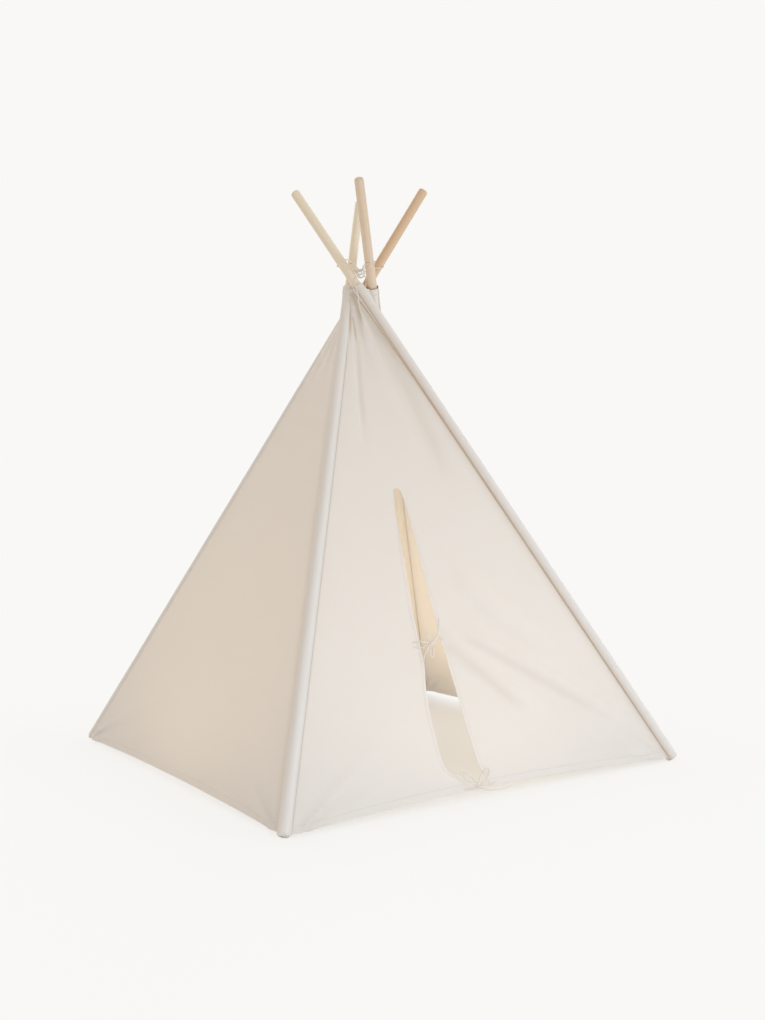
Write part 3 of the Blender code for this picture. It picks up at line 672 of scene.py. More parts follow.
def placed(name, data):
    """A new object in the scene."""
    obj = bpy.data.objects.new(name, data)
    bpy.context.scene.collection.objects.link(obj)
    return obj


def add_object(name, mesh, finish):
    mesh.materials.append(finish)
    return placed(name, mesh)


def mesh_of(name, points, faces, sharp_degrees=40.0):
    mesh = bpy.data.meshes.new(name)
    mesh.from_pydata([tuple(p) for p in points], [], faces)
    mesh.validate()
    mesh.update()
    mesh.shade_smooth()
    mesh.set_sharp_from_angle(angle=math.radians(sharp_degrees))
    return mesh


def through(points, step):
    """Points on a smooth curve through a route's own points."""
    points = [Vector(p) for p in points]
    ends = [2 * points[0] - points[1], *points, 2 * points[-1] - points[-2]]
    found = [points[0]]
    for a, b, c, d in zip(ends, ends[1:], ends[2:], ends[3:]):
        steps = max(1, math.ceil((c - b).length / step))
        for n in range(1, steps + 1):
            t = n / steps
            found.append(
                0.5 * (2 * b + (c - a) * t + (2 * a - 5 * b + 4 * c - d) * t * t
                       + (3 * b - a - 3 * c + d) * t * t * t)
            )
    return found


def tube_faces(rings, sides):
    """The faces of a closed tube of rings of points."""
    faces = []
    for ring in range(rings - 1):
        for k in range(sides):
            a, b = ring * sides + k, ring * sides + (k + 1) % sides
            faces.append((a, b, b + sides, a + sides))
    last = (rings - 1) * sides
    return [*faces, tuple(reversed(range(sides))), tuple(range(last, last + sides))]


def rope_mesh(name, path, radius):
    """A tube of twisted strands along a path, with rounded ends."""
    path = [Vector(p) for p in path]
    tangents = [(b - a).normalized() for a, b in zip(path, path[1:])]
    tangents = [tangents[0], *((a + b).normalized() for a, b in zip(tangents, tangents[1:])), tangents[-1]]
    side = tangents[0].orthogonal().normalized()
    points = []
    travelled = 0.0
    rounding = (0.25, 0.7, 0.92)
    for n, (place, tangent) in enumerate(zip(path, tangents)):
        side = (side - tangent * side.dot(tangent)).normalized()
        other = tangent.cross(side)
        if n:
            travelled += (place - path[n - 1]).length
        from_end = min(n, len(path) - 1 - n)
        size = radius * (rounding[from_end] if from_end < len(rounding) else 1.0)
        for k in range(CORD_SIDES):
            angle = 2 * math.pi * k / CORD_SIDES
            phase = CORD_STRANDS / 2 * (angle - 2 * math.pi * travelled / CORD_LAY)
            reach = size * (1 - CORD_GROOVE_SHARE * (1 - abs(math.cos(phase))))
            points.append(place + reach * (side * math.cos(angle) + other * math.sin(angle)))
    return mesh_of(name, points, tube_faces(len(path), CORD_SIDES), sharp_degrees=60.0)


def path_length(path):
    return sum((b - a).length for a, b in zip(path, path[1:]))


def cord_piece(name, route, nodes, body):
    """A cotton cord along a route."""
    path = through(route, CORD_STEP)
    obj = add_object(name, rope_mesh(name, path, CORD_DIAMETER / 2), CORD)
    if body:
        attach(obj, body)
    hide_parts(*nodes)
    round(path_length(path), 4)
    return obj


def out_of_knot(centre, toward):
    """The two points that start a cord straight out of the lace's knot, towards a point."""
    way = (toward - centre).normalized()
    face = LASHING_KNOT_RADIUS / Vector(part / share for part, share in zip(way, KNOT_SHARES)).length
    return [centre + way * (face - KNOT_COVER), centre + way * (face + FIT_GAP + CORD_DIAMETER)]


# All routes are in millimetres.
# The bows: each knot, and its cords' routes, as (x, height, lift off the canvas's middle layer)
MIDDLE_KNOT = (-86, 346, 4.5)
MIDDLE_UPPER_LOOP = (
    (-87.8, 357, 6), (-88, 364, 8), (-82, 371.2, 9.5), (-74.5, 368, 9.5), (-74.5, 360, 8.5),
    (-78.5, 354.5, 6.5),
)
MIDDLE_LOWER_LOOP = (
    (-87.6, 335, 6), (-93, 326, 7.5), (-95, 317, 8.5), (-88.5, 314, 8.5), (-83, 324, 7.5),
    (-79.5, 336.5, 6),
)
MIDDLE_TIE_LEFT = ((-96.5, 351, 4), (-108, 354.5, 3.4), (-120, 355, 2.7), (-132, 355.5, 2.7))
MIDDLE_TIE_RETURN = ((-97, 342.4, 3.8), (-108, 340, 3.4), (-121, 341, 2.7), (-133, 344, 2.7))
MIDDLE_UPPER_TAIL = (
    (-78.5, 349.8, 13.5), (-69, 356.5, 13.5), (-59, 369, 11.5), (-49, 386, 9), (-40, 401, 6.5),
)
MIDDLE_HANGING_TAIL = (
    (-93.5, 341, 12.5), (-101, 335, 12.5), (-107.5, 326, 10.5), (-114.5, 316, 8), (-119, 304, 5.5),
)
MIDDLE_TIE_RIGHT = ((-74, 347.8, 3.8), (-63, 351.5, 3), (-54, 354, 2.7), (-45, 355.5, 2.7))
BOTTOM_KNOT = (-66.5, 13, 4.5)
BOTTOM_LEFT_LOOP = (
    (-78.5, 18.5, 12.5), (-88.5, 27, 13), (-99.5, 37, 12.5), (-107.5, 46, 11.5), (-102, 51.5, 11),
    (-89.5, 45, 11), (-79, 35, 10), (-71.5, 24, 8.5),
)
BOTTOM_RIGHT_LOOP = (
    (-61.5, 24, 10.5), (-52.5, 34, 11.5), (-38.5, 44, 11.5), (-27.5, 45, 10.5), (-26.5, 38, 10.5),
    (-35.5, 29.5, 12), (-46.5, 22, 13), (-54.5, 18, 12.5),
)
BOTTOM_TIE_LEFT = ((-78.5, 11, 3.6), (-87.5, 11.5, 2.8), (-95.5, 13, 2.7), (-103.5, 14, 2.7))
BOTTOM_LONG_TAIL = (
    (-57.5, 5.5, 12.5), (-46.5, 1, 13), (-28.5, -1.5, 12), (-8.5, -2, 10.5), (14.5, -0.8, 9),
    (29.5, 2, 7.5),
)
BOTTOM_TIE_RIGHT = ((-45.5, 12, 3.6), (-30.5, 13, 2.8), (-21.5, 14, 2.7), (-11.5, 15, 2.7))

# The lace through one pole, between two places on the knot, in the frame of the pole's hinge
LACE_ROUTE = (
    (-20.2, 23.4, -24.9), (-10, 20, -10.5), (-2.2, 16, -2.5), (0, 12.5, 0), (0, -12.5, 0), (-3, -15, -1.5),
    (-10.6, -10.8, -6), (-15.4, -3, -12), (-20.5, 8, -22),
)
LACE_OUTER_TAIL = (
    (-17, -22, 1279), (-29, -29, 1272.5), (-38.5, -30.5, 1262), (-38, -34.5, 1248), (-34.5, -37.5, 1232),
    (-33, -43, 1205), (-32.5, -50, 1180), (-32, -59, 1160),
)
LACE_INNER_TAIL = ((7, -16, 1274), (3, -21, 1256), (1, -19, 1238), (0, -15, 1220))


def camera():
    data = bpy.data.cameras.new("photo_view")
    data.sensor_fit = "VERTICAL"
    data.sensor_height = SENSOR
    data.sensor_width = SENSOR
    data.lens = SENSOR * FOCAL_PIXELS / IMAGE_HEIGHT
    data.clip_start = CLIP_START
    data.clip_end = CLIP_END
    obj = placed("photo_view", data)
    back = -CAMERA_FORWARD.normalized()
    right = CAMERA_UP.cross(back).normalized()
    turn = Matrix((right, back.cross(right), back)).transposed().to_4x4()
    obj.matrix_world = Matrix.Translation(CAMERA_PLACE) @ turn
    bpy.context.scene.camera = obj


def knot_piece(name, path, node, body):
    obj = add_object(name, rope_mesh(name, path, CORD_DIAMETER / 2), CORD)
    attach(obj, body)
    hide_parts(node)
    return obj


def bow_knot_path(centre, across, up, out):
    """The pulled-tight turns of a bow's knot."""
    found = []
    wide, tall, deep = BOW_KNOT_SIZE
    for n in range(BOW_KNOT_STEPS + 1):
        t = 2 * math.pi * n / BOW_KNOT_STEPS * BOW_KNOT_SHARE
        x = (math.sin(t) + BOW_KNOT_WEAVE * math.sin(2 * t)) * wide
        y = (math.cos(t) - BOW_KNOT_WEAVE * math.cos(2 * t)) * tall
        z = -math.sin(3 * t) * deep
        found.append(centre + across * x + up * y + out * z)
    return found


def lashing_knot_path(centre):
    """The lace's knot, seen from the door: two turns of a small ring, then two wide turns behind it."""
    facing = Vector(KNOT_FACING).normalized()
    level = Vector((0, 0, 1)).cross(facing).normalized()
    up = facing.cross(level)
    found = []
    for n in range(KNOT_STEPS + 1):
        t = n / KNOT_STEPS
        turn = 2 * math.pi * KNOT_TURNS * t
        wide = float(smooth((t - KNOT_WIDE_START) / KNOT_WIDE_OVER))
        radius = KNOT_RING_RADIUS + (KNOT_WIDE_RADIUS - KNOT_RING_RADIUS) * wide
        radius += KNOT_WOBBLE * math.sin(3 * turn)
        depth = KNOT_RING_DEPTH - t * (KNOT_RING_DEPTH + KNOT_WIDE_DEPTH)
        side = level * (radius * math.cos(turn) - KNOT_RING_SHIFT * (1 - wide))
        found.append(centre + side + up * radius * math.sin(turn) + facing * depth)
    return found


def in_metres(point):
    return Vector([c * MM for c in point])


def lashing():
    """The lace: its knot, a turn through each pole and two ends."""
    centre = Vector((0, 0, LASHING_KNOT_HEIGHT))
    knot = knot_piece("lace_knot", lashing_knot_path(centre), "lashing_knot", "lashing")
    for number, name in enumerate(CORNERS):
        corner = Corner(number)
        place = corner.frame(corner.hole)
        route = [place @ in_metres(point) for point in LACE_ROUTE]
        route = out_of_knot(centre, route[0]) + route + out_of_knot(centre, route[-1])[::-1]
        piece = cord_piece(f"lace_at_{name}", route, [f"lace_through_{name}"], None)
        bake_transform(piece)
    for name, route, pieces in (("outer", LACE_OUTER_TAIL, [knot]), ("inner", LACE_INNER_TAIL, [])):
        route = [in_metres(point) for point in route]
        route = out_of_knot(centre, route[0]) + route
        cord_piece(f"lace_{name}_end", route, [f"lace_{name}_tail"], "lashing")


def bows():
    """Both bows: knots, loops, tails and the ties sewn to the flaps. Gives the pieces for each flap."""
    left = []
    right = []
    up = Vector(FRONT_SLOPE).normalized()
    across = Vector((1, 0, 0))
    out = across.cross(up)
    beside = across * TIE_STEP

    def spots(*route):
        return [at_front(*(c * MM for c in point)) for point in route]

    def whole(centre, tie, over, loop, under, tail):
        """From a sewn tie over the knot into its loop, and back under the knot into its tail."""
        route = spots(*tie)[::-1] + [centre + over * BOW_STEP] + spots(*loop)
        return route + [centre + under * BOW_STEP] + spots(*tail)

    def piece(name, route, nodes, body, far_end, pieces=()):
        obj = cord_piece(name, route, nodes, body)
        (left if body == "door_left" else right).append(obj)

    middle, bottom = spots(MIDDLE_KNOT, BOTTOM_KNOT)
    for name, centre in (("middle_bow_knot", middle), ("bottom_bow_knot", bottom)):
        left.append(knot_piece(name + "_turns", bow_knot_path(centre, across, up, out), name, "door_left"))
    piece(
        "middle_bow_upper_cord",
        whole(middle, MIDDLE_TIE_LEFT, out, MIDDLE_UPPER_LOOP, -up, MIDDLE_UPPER_TAIL),
        ["middle_tie_left", "middle_bow_upper_loop", "middle_bow_upper_tail"], "door_left", "bare", [left[0]],
    )
    piece(
        "middle_bow_lower_cord",
        whole(middle, MIDDLE_TIE_RETURN, -out, MIDDLE_LOWER_LOOP, up, MIDDLE_HANGING_TAIL),
        ["middle_tie_left_return", "middle_bow_lower_loop", "middle_bow_hanging_tail"], "door_left", "bare",
    )
    route = spots(*MIDDLE_TIE_RIGHT)[::-1] + [middle + beside]
    piece("middle_right_tie", route, ["middle_tie_right"], "door_right", "object")
    piece(
        "bottom_bow_left_cord", whole(bottom, BOTTOM_TIE_LEFT, out, BOTTOM_LEFT_LOOP, -up, BOTTOM_LONG_TAIL),
        ["bottom_tie_left", "bottom_bow_left_loop", "bottom_bow_long_tail"], "door_left", "bare", [left[1]],
    )
    route = [bottom + up * TIE_STEP] + spots(*BOTTOM_RIGHT_LOOP) + [bottom + beside]
    piece("bottom_bow_right_cord", route, ["bottom_bow_right_loop"], "door_left", "object")
    route = spots(*BOTTOM_TIE_RIGHT)[::-1] + [bottom + beside]
    piece("bottom_right_tie", route, ["bottom_tie_right"], "door_right", "object")
    return left, right


def fold_line(corner, other):
    """How a wall's half flattens as the poles close: the direction it flattens along, and the share kept.

    The half is pressed so that it reaches from its own pole to the line shared with the other half."""
    own = corner.at(FOLD_MATCH_HEIGHT)
    rest = other.at(FOLD_MATCH_HEIGHT) - own
    turn = np.array(Matrix.Rotation(-FOLD_LIMIT, 3, Vector(corner.hinge)))
    wanted = turn @ (other.folded(other.at(FOLD_MATCH_HEIGHT)) - corner.folded(own))
    rest = rest - corner.up * (rest @ corner.up)
    wanted = wanted - corner.up * (wanted @ corner.up)
    along = unit(rest)
    aside = np.cross(corner.up, along)
    drawn = (wanted @ along) / np.linalg.norm(rest)
    turned = (wanted @ aside) / np.linalg.norm(rest)
    slope = -turned / (1 - drawn)
    axis = unit(along + slope * aside)
    keep = 1 - (1 - drawn) * (1 + slope * slope)
    return axis, float(np.clip(keep, LEAST_KEPT, 1))


def flatten(obj, wall, side):
    corner, other = (wall.near, wall.far) if side < 0 else (wall.far, wall.near)
    axis, keep = fold_line(corner, other)
    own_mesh(obj)


def cloth_mesh(name, grid, places, thick, shade):
    """A closed sheet from a grid of its middle layer's points, with its thickness and painted shade at each.
    """
    rows, columns, _ = grid.shape
    along = np.gradient(grid, axis=0)
    across = np.gradient(grid, axis=1)
    normal = np.cross(across, along)
    normal /= np.maximum(np.linalg.norm(normal, axis=2, keepdims=True), 1e-12)
    outer = grid + normal * thick[..., None] / 2
    inner = grid - normal * thick[..., None] / 2
    points = np.concatenate((outer.reshape(-1, 3), inner.reshape(-1, 3)))
    count = rows * columns
    faces = []
    for r in range(rows - 1):
        for c in range(columns - 1):
            a = r * columns + c
            faces.append((a, a + 1, a + columns + 1, a + columns))
            faces.append((count + a, count + a + columns, count + a + columns + 1, count + a + 1))
    ring = list(range(columns))
    ring += [r * columns + columns - 1 for r in range(1, rows)]
    ring += [(rows - 1) * columns + c for c in range(columns - 2, -1, -1)]
    ring += [r * columns for r in range(rows - 2, 0, -1)]
    for a, b in zip(ring, ring[1:] + ring[:1]):
        faces.append((b, a, count + a, count + b))
    mesh = mesh_of(name, points, faces)
    places = np.tile(places.reshape(-1, 3), (2, 1))
    mark_points(mesh, places, np.concatenate((shade.ravel(), np.zeros(count))))
    return mesh


def mark_points(mesh, places, shade):
    """Gives a mesh's points their places on the flat cloth, and how much painted shade darkens them at seams
    and folds.
    """
    attribute = mesh.attributes.new("cloth_place", "FLOAT_VECTOR", "POINT")
    attribute.data.foreach_set("vector", np.array(places, np.float32).ravel())
    attribute = mesh.attributes.new("painted_shade", "FLOAT", "POINT")
    attribute.data.foreach_set("value", np.array(shade, np.float32))


def groove_shade(distance):
    """The painted shade of the canvas at a distance from the groove where it meets a pocket, with the
    pocket's painted shadow beside it.
    """
    painted_shadow = GROOVE_PAINTED_SHADOW * hump(distance / GROOVE_PAINTED_SHADOW_WIDTH)
    return GROOVE_SHADE * hump(distance / GROOVE_SHADE_WIDTH) + painted_shadow


def add_stitch(points, faces, ends, out):
    """Adds one stitch between two points on the cloth: a short round thread, whose ends go into it."""
    way = unit(ends[1] - ends[0])
    aside = np.cross(way, out)
    centre = (ends[0] + ends[1]) / 2
    base = len(points)
    for along, size in STITCH_SHAPE:
        sink = -STITCH_RADIUS * STITCH_SINK * (abs(along) * 2) ** 3
        for k in range(STITCH_SIDES):
            angle = 2 * math.pi * k / STITCH_SIDES
            points.append(
                centre + way * along * STITCH_LENGTH + out * sink
                + STITCH_RADIUS * size * (aside * math.cos(angle) + out * math.sin(angle))
            )
    for n in range(len(STITCH_SHAPE) - 1):
        for k in range(STITCH_SIDES):
            a, b = base + n * STITCH_SIDES + k, base + n * STITCH_SIDES + (k + 1) % STITCH_SIDES
            faces.append((b, a, a + STITCH_SIDES, b + STITCH_SIDES))
    faces.append(tuple(base + k for k in range(STITCH_SIDES)))
    last = base + (len(STITCH_SHAPE) - 1) * STITCH_SIDES
    faces.append(tuple(last + k for k in reversed(range(STITCH_SIDES))))


def stitch_mesh(name, lines):
    """Rows of sewn stitches. Each line is its points and the directions out of the cloth there."""
    points = []
    faces = []
    for path, outs in lines:
        lengths = np.concatenate(([0.0], np.cumsum(np.linalg.norm(np.diff(path, axis=0), axis=1))))
        for middle in np.arange(STITCH_PITCH / 2, lengths[-1] - STITCH_PITCH / 2, STITCH_PITCH):
            ends = [
                np.array([np.interp(middle + s * STITCH_LENGTH, lengths, path[:, k]) for k in range(3)])
                for s in (-0.5, 0.5)
            ]
            add_stitch(points, faces, ends, unit([np.interp(middle, lengths, outs[:, k]) for k in range(3)]))
    return mesh_of(name, points, faces, sharp_degrees=80.0)


# Distances of the close columns from a pocket, a groove or a free edge, and of the rows from a hem
SLEEVE_SIDE = [
    d * MM for d in (0, 2.2, 4.4, 6.4, 8.0, 9.0, 9.8, 10.5, 11.2, 12.0, 13.2, 15, 18, 22, 27, 33, 40)
]
GROOVE_SIDE = [d * MM for d in (0, 1.5, 3, 5, 8, 12, 18, 26, 36)]
FREE_SIDE = [d * MM for d in (0, 0.8, 2.5, 5, 7.5, 8.6, 9.4, 10.5, 13, 18, 26)]
HEM_ROWS = [d * MM for d in (0, 0.8, 3, 7, 12, 15, 17, 18.2, 20, 24, 31, 40)]
NARROW_SHARE = 0.45           # the most of a narrow strip that its close columns take
MIDDLE_COLUMNS = 42
FLAP_COLUMNS = 34
WALL_ROWS = 130
WALL_CLOSING = 1.25           # how the rows close up towards the top
SLIT_ROWS = 74
SLIT_ROUND_ROWS = 7
TOP_ROWS = 60
TOP_CLOSING = 1.3


def shrunk(length, fine):
    """The share to which a strip's close columns are drawn together, where the strip is narrow."""
    return min(1.0, NARROW_SHARE * length / fine[-1])


def columns_between(start, end, fine, count):
    """Places from start to end: first at the distances of a list, then evenly spaced."""
    length = abs(end - start)
    scale = shrunk(length, fine)
    low = [d * scale for d in fine]
    between = [low[-1] + (length - low[-1]) * n / count for n in range(1, count)]
    sign = 1 if end >= start else -1
    return np.array([start + sign * d for d in low + between + [length]])


def closing_up(start, end, count, power):
    """Heights after start, up to end, that get closer together."""
    return [end - (end - start) * (1 - n / count) ** power for n in range(1, count + 1)]


def flap_heights():
    low = [HEM_HEIGHT + d for d in HEM_ROWS]
    return low + closing_up(low[-1], FLAP_TOP_HEIGHT, SLIT_ROWS, 1.0)


def wall_heights(wall):
    if wall.name != "front":
        low = [HEM_HEIGHT + d for d in HEM_ROWS]
        return low + closing_up(low[-1], WALL_TOP_HEIGHT, WALL_ROWS, WALL_CLOSING)
    turns = [math.pi / 2 * n / SLIT_ROUND_ROWS for n in range(1, SLIT_ROUND_ROWS + 1)]
    middle = [FLAP_TOP_HEIGHT + SLIT_TOP_ROUND * math.sin(turn) for turn in turns]
    return flap_heights() + middle + closing_up(SLIT_TOP_HEIGHT, WALL_TOP_HEIGHT, TOP_ROWS, TOP_CLOSING)


def hem_thickness(distance, width):
    """A sheet's thickness at a distance from its folded edge."""
    inside = 1 - smooth((distance - width + HEM_STEP) / (2 * HEM_STEP))
    roll = smooth(distance / HEM_ROLL_WIDTH) * HEM_ROLL + (1 - HEM_ROLL)
    return CLOTH + (HEM_CLOTH - CLOTH) * inside * roll


def half_bounds(wall, side, height):
    """The shares across at a height where a half starts and ends, its sleeve's side first."""
    start = 0.0
    if side > 0:
        start = wall.edge(height, wall.far, SLEEVE_OUTER + CLOTH_CLEARANCE, 1.0, 0.5)
    if wall.name == "front" and height <= SLIT_TOP_HEIGHT:
        return start, wall.share_of_x(hinge_x(side, height), height)
    return start, wall.seam(height)


def flap_bounds(side, height):
    """A flap's free edge and fold line at a height, as distances across the front wall."""
    width = FRONT.width(height)
    places = free_edge_x(side, height), hinge_x(side, height)
    return [FRONT.share_of_x(x, height) * width for x in places]


def slope_length(wall, height):
    middle = (wall.near.rise + wall.far.rise) / 2
    return height * np.linalg.norm(middle) / CROSSING_HEIGHT


class Sheet:
    """A sheet of canvas, row by row: its points, their places on the flat cloth, thickness and painted shade.
    """

    def __init__(self, wall, side):
        self.wall = wall
        self.side = side
        self.rows = []

    def add(self, height, lateral, lift, thick, shade):
        """Adds the row at a height, through some distances across the wall."""
        width = self.wall.width(height)
        shares = lateral / width
        even = np.ones(len(lateral))
        up = slope_length(self.wall, height)
        self.rows.append((
            self.wall.surface(shares, height, lift),
            np.stack((lateral - width / 2, up * even, self.wall.number * even), 1),
            thick * even,
            np.maximum(shade, self.wall.front_shade(shares, height)),
        ))

    def hang(self, name, body, node, lines):
        parts = [np.array(part) for part in zip(*self.rows)]
        if parts[1][0, 0, 0] > parts[1][0, -1, 0]:
            parts = [part[:, ::-1] for part in parts]
        grid, places, thick, shade = parts
        obj = add_object(name, cloth_mesh(name, grid, places, thick, shade), CANVAS)
        thread = add_object(name + "_stitches", stitch_mesh(name, lines), THREAD_FINISH)
        for piece in (obj, thread):
            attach(piece, body)
            flatten(piece, self.wall, self.side)
        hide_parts(node)


def foot_thickness(wall, height):
    return hem_thickness(slope_length(wall, height) - slope_length(wall, HEM_HEIGHT), HEM_WIDTH)


def wall_half(wall, side):
    """One half of a wall's canvas, with its seam or groove at the sleeve and its hem. Side -1 is near."""
    corner = wall.near if side < 0 else wall.far
    heights = wall_heights(wall)
    sheet = Sheet(wall, side)
    for height in heights:
        width = wall.width(height)
        start, end = half_bounds(wall, side, height)
        fine = SLEEVE_SIDE if side < 0 else GROOVE_SIDE
        lateral = columns_between(start * width, end * width, fine, MIDDLE_COLUMNS)
        if side < 0:
            scale = shrunk(abs(end - start) * width, SLEEVE_SIDE)
            off = lateral - SEAM_OFFSET * scale
            lift = -SEAM_GROOVE * scale * hump(off / (SEAM_GROOVE_WIDTH * scale))
            shade = SEAM_SHADE * hump(off / SEAM_SHADE_WIDTH)
        else:
            lift = 0.0
            shade = groove_shade(np.abs(lateral - start * width))
        sheet.add(height, lateral, lift, foot_thickness(wall, height), shade)
    sheet.hang(
        f"{wall.name}_canvas_at_{corner.name}", corner.name, f"{wall.name}_wall_at_{corner.name}",
        wall_half_lines(wall, side, heights),
    )


def stitch_line(wall, path):
    """A stitched line on a wall: its points, and the directions out of the cloth there."""
    out = unit(np.cross(wall.far.foot - wall.near.foot, wall.near.rise + wall.far.rise))
    return np.array(path), np.tile(out, (len(path), 1))


def hem_line(wall, start, end, count):
    height = HEM_HEIGHT + HEM_STITCH_HEIGHT
    return stitch_line(wall, wall.surface(np.linspace(start, end, count), height, HEM_CLOTH / 2 - STITCH_BED))


def wall_half_lines(wall, side, heights):
    """The stitched lines of a half: the pocket's seam up the sleeve, and the hem."""
    lines = []
    if side < 0:
        path = []
        for height in heights:
            width = wall.width(height)
            start, end = half_bounds(wall, side, height)
            scale = shrunk(abs(end - start) * width, SLEEVE_SIDE)
            lift = CLOTH / 2 - SEAM_GROOVE * scale + STITCH_BED
            path.append(wall.surface(start + SEAM_OFFSET * scale / width, height, lift)[0])
        lines.append(stitch_line(wall, path))
    height = HEM_HEIGHT + HEM_STITCH_HEIGHT
    start, end = half_bounds(wall, side, height)
    lines.append(hem_line(wall, start - side * HEM_STITCH_INSET / wall.width(height), end, count=60))
    return lines


def door_flap(side):
    """The canvas beside the slit, out from its fold line, with a narrow hem down its free edge."""
    name = "left" if side < 0 else "right"
    heights = flap_heights()
    sheet = Sheet(FRONT, side)
    for height in heights:
        free, line = flap_bounds(side, height)
        lateral = columns_between(free, line, FREE_SIDE, FLAP_COLUMNS)
        scale = shrunk(abs(line - free), FREE_SIDE)
        edge = CLOTH + (hem_thickness(np.abs(lateral - free) / scale, EDGE_HEM_WIDTH) - CLOTH) * scale
        sheet.add(height, lateral, 0.0, np.maximum(foot_thickness(FRONT, height), edge), 0.0)
    sheet.hang(
        f"{name}_door_canvas", f"door_{name}", f"{name}_door_flap", door_lines(side, heights),
    )


def door_lines(side, heights):
    """The stitched lines of a flap: down its free edge, and along its hem."""
    path = []
    for height in heights[EDGE_STITCH_START:]:
        free, line = flap_bounds(side, height)
        scale = shrunk(abs(line - free), FREE_SIDE)
        place = free + side * EDGE_STITCH_PLACE * scale
        lift = CLOTH / 2 + (HEM_CLOTH - CLOTH) / 2 * scale - STITCH_BED
        path.append(FRONT.surface(place / FRONT.width(height), height, lift)[0])
    height = HEM_HEIGHT + HEM_STITCH_HEIGHT
    ends = hinge_x(side, height), free_edge_x(side, height) + side * EDGE_STITCH_INSET
    ends = [FRONT.share_of_x(x, height) for x in ends]
    return [stitch_line(FRONT, path), hem_line(FRONT, min(ends), max(ends), count=50)]


# A pole's pocket: its mesh, its wrinkles, its flared and hemmed mouth, and the puckers at its foot
SLEEVE_COLUMNS = 48
SLEEVE_ROWS = 190
SLEEVE_FOOT_STEPS = 8
SLEEVE_FOOT_HOLE = 0.6 * MM
SLEEVE_MOUTH_ROWS = (21.5, 20.2, 19.2, 15, 10, 5, 2, 0.6)   # mm below its rim
SLEEVE_MOUTH_LENGTH = 26 * MM
WRINKLE = 0.45 * MM
WRINKLE_CELLS = (1.3, 1.3, 9.0)
FLARE_LENGTH = 55 * MM
MOUTH_HEM_WIDTH = 20 * MM
MOUTH_HEM = 0.35 * MM
MOUTH_STITCH_DEPTH = 17 * MM
MOUTH_STITCH_LIFT = 0.75 * MM
MOUTH_STITCH_STEPS = 49
PUCKER = 0.35 * MM
PUCKER_HEIGHT = 9 * MM
PUCKER_WAVES = 9
LINING_SHARES = ((0.965, 0.5 * MM), (0.93, -0.2 * MM), (0.925, 0.0))   # share of the outer ring, and rise


def pocket_end(tilt):
    rim = SLEEVE_END_ROUND + (SLEEVE_OUTER - SLEEVE_END_ROUND) * math.sin(tilt) - FLOOR_FLAT_DEPTH
    return rim / math.cos(tilt) - SLEEVE_END_ROUND


def groove_angle(number):
    """The way round a sleeve, in its own frame, to where the wall before it lies against it."""
    wall = Wall((number + 3) % 4)
    corner = wall.far
    height = CROSSING_HEIGHT / 2
    share = wall.edge(height, corner, SLEEVE_OUTER + CLOTH_CLEARANCE, 1.0, 0.5)
    spot = corner.frame(corner.foot).inverted() @ Vector(wall.surface(share, height)[0])
    return math.atan2(spot.y, spot.x)


def mouth_flare(below, angle, number):
    """How far a pocket spreads at a distance below its rim."""
    return smooth(1 - below / FLARE_LENGTH) * (1.1 + 0.7 * math.cos(2 * angle + number)) * MM


def sleeve_profile(end, top):
    """A pocket's radius and height, from its rounded foot to its rim."""
    profile = [(SLEEVE_FOOT_HOLE, end)]
    for n in range(1, SLEEVE_FOOT_STEPS + 1):
        a = math.radians(-90 + 90 * n / SLEEVE_FOOT_STEPS)
        profile.append((
            SLEEVE_OUTER - SLEEVE_END_ROUND + SLEEVE_END_ROUND * math.cos(a),
            end + SLEEVE_END_ROUND + SLEEVE_END_ROUND * math.sin(a),
        ))
    rows = np.linspace(end + SLEEVE_END_ROUND, top - SLEEVE_MOUTH_LENGTH, SLEEVE_ROWS)[1:]
    profile += [(SLEEVE_OUTER, height) for height in rows]
    return profile + [(SLEEVE_OUTER, top - d * MM) for d in SLEEVE_MOUTH_ROWS]


def sleeve_ring(radius, height, end, top, number, angles):
    """One ring of a pocket, wrinkled, and puckered near its foot."""
    ring = []
    hem = MOUTH_HEM if top - height < MOUTH_HEM_WIDTH else 0.0
    pucker = hump((height - end - PUCKER_HEIGHT) / PUCKER_HEIGHT)
    for a in angles:
        size = radius
        if radius > SLEEVE_OUTER * 0.9:
            x, y = math.cos(a) * WRINKLE_CELLS[0], math.sin(a) * WRINKLE_CELLS[1]
            spot = Vector((x, y, height * WRINKLE_CELLS[2] + 20 * number))
            size += WRINKLE * noise.noise(spot) + mouth_flare(top - height, a, number) + hem
        waves = math.sin(PUCKER_WAVES * a + 2 * math.sin(a))
        size += PUCKER * pucker * waves * min(1.0, radius / SLEEVE_OUTER)
        ring.append((size * math.cos(a), size * math.sin(a), height))
    return ring


def lined(rings):
    """The rings of a pocket's outside, and then of its inside down to its rounded foot."""
    found = list(rings)
    inner = [rings[-1], rings[-1], *rings[-2:SLEEVE_FOOT_STEPS + 1:-1]]
    shares = [*LINING_SHARES[:2], *[LINING_SHARES[2]] * (len(inner) - 2)]
    for ring, (share, rise) in zip(inner, shares):
        found.append([(x * share, y * share, z + rise) for x, y, z in ring])
    return found


def sleeve_shades(number, place, angles, outside, inside):
    """The painted shade of each point of a pocket: dark in its groove, fading outwards, and painted dark
    inside its mouth.
    """
    groove = groove_angle(number)
    ahead = place.inverted() @ Vector(Corner(number).foot * 2)
    outward_turn = math.remainder(math.atan2(ahead.y, ahead.x) - groove, 2 * math.pi)
    turned = (np.mod(angles - groove + math.pi, 2 * math.pi) - math.pi) * math.copysign(1, outward_turn)
    turned = np.where(turned < 0, -INNER_SHADE_SHARE * turned, turned)
    shown = np.tile(groove_shade(turned * SLEEVE_OUTER), outside)
    return np.concatenate((shown, np.full(inside * SLEEVE_COLUMNS, MOUTH_SHADE)))


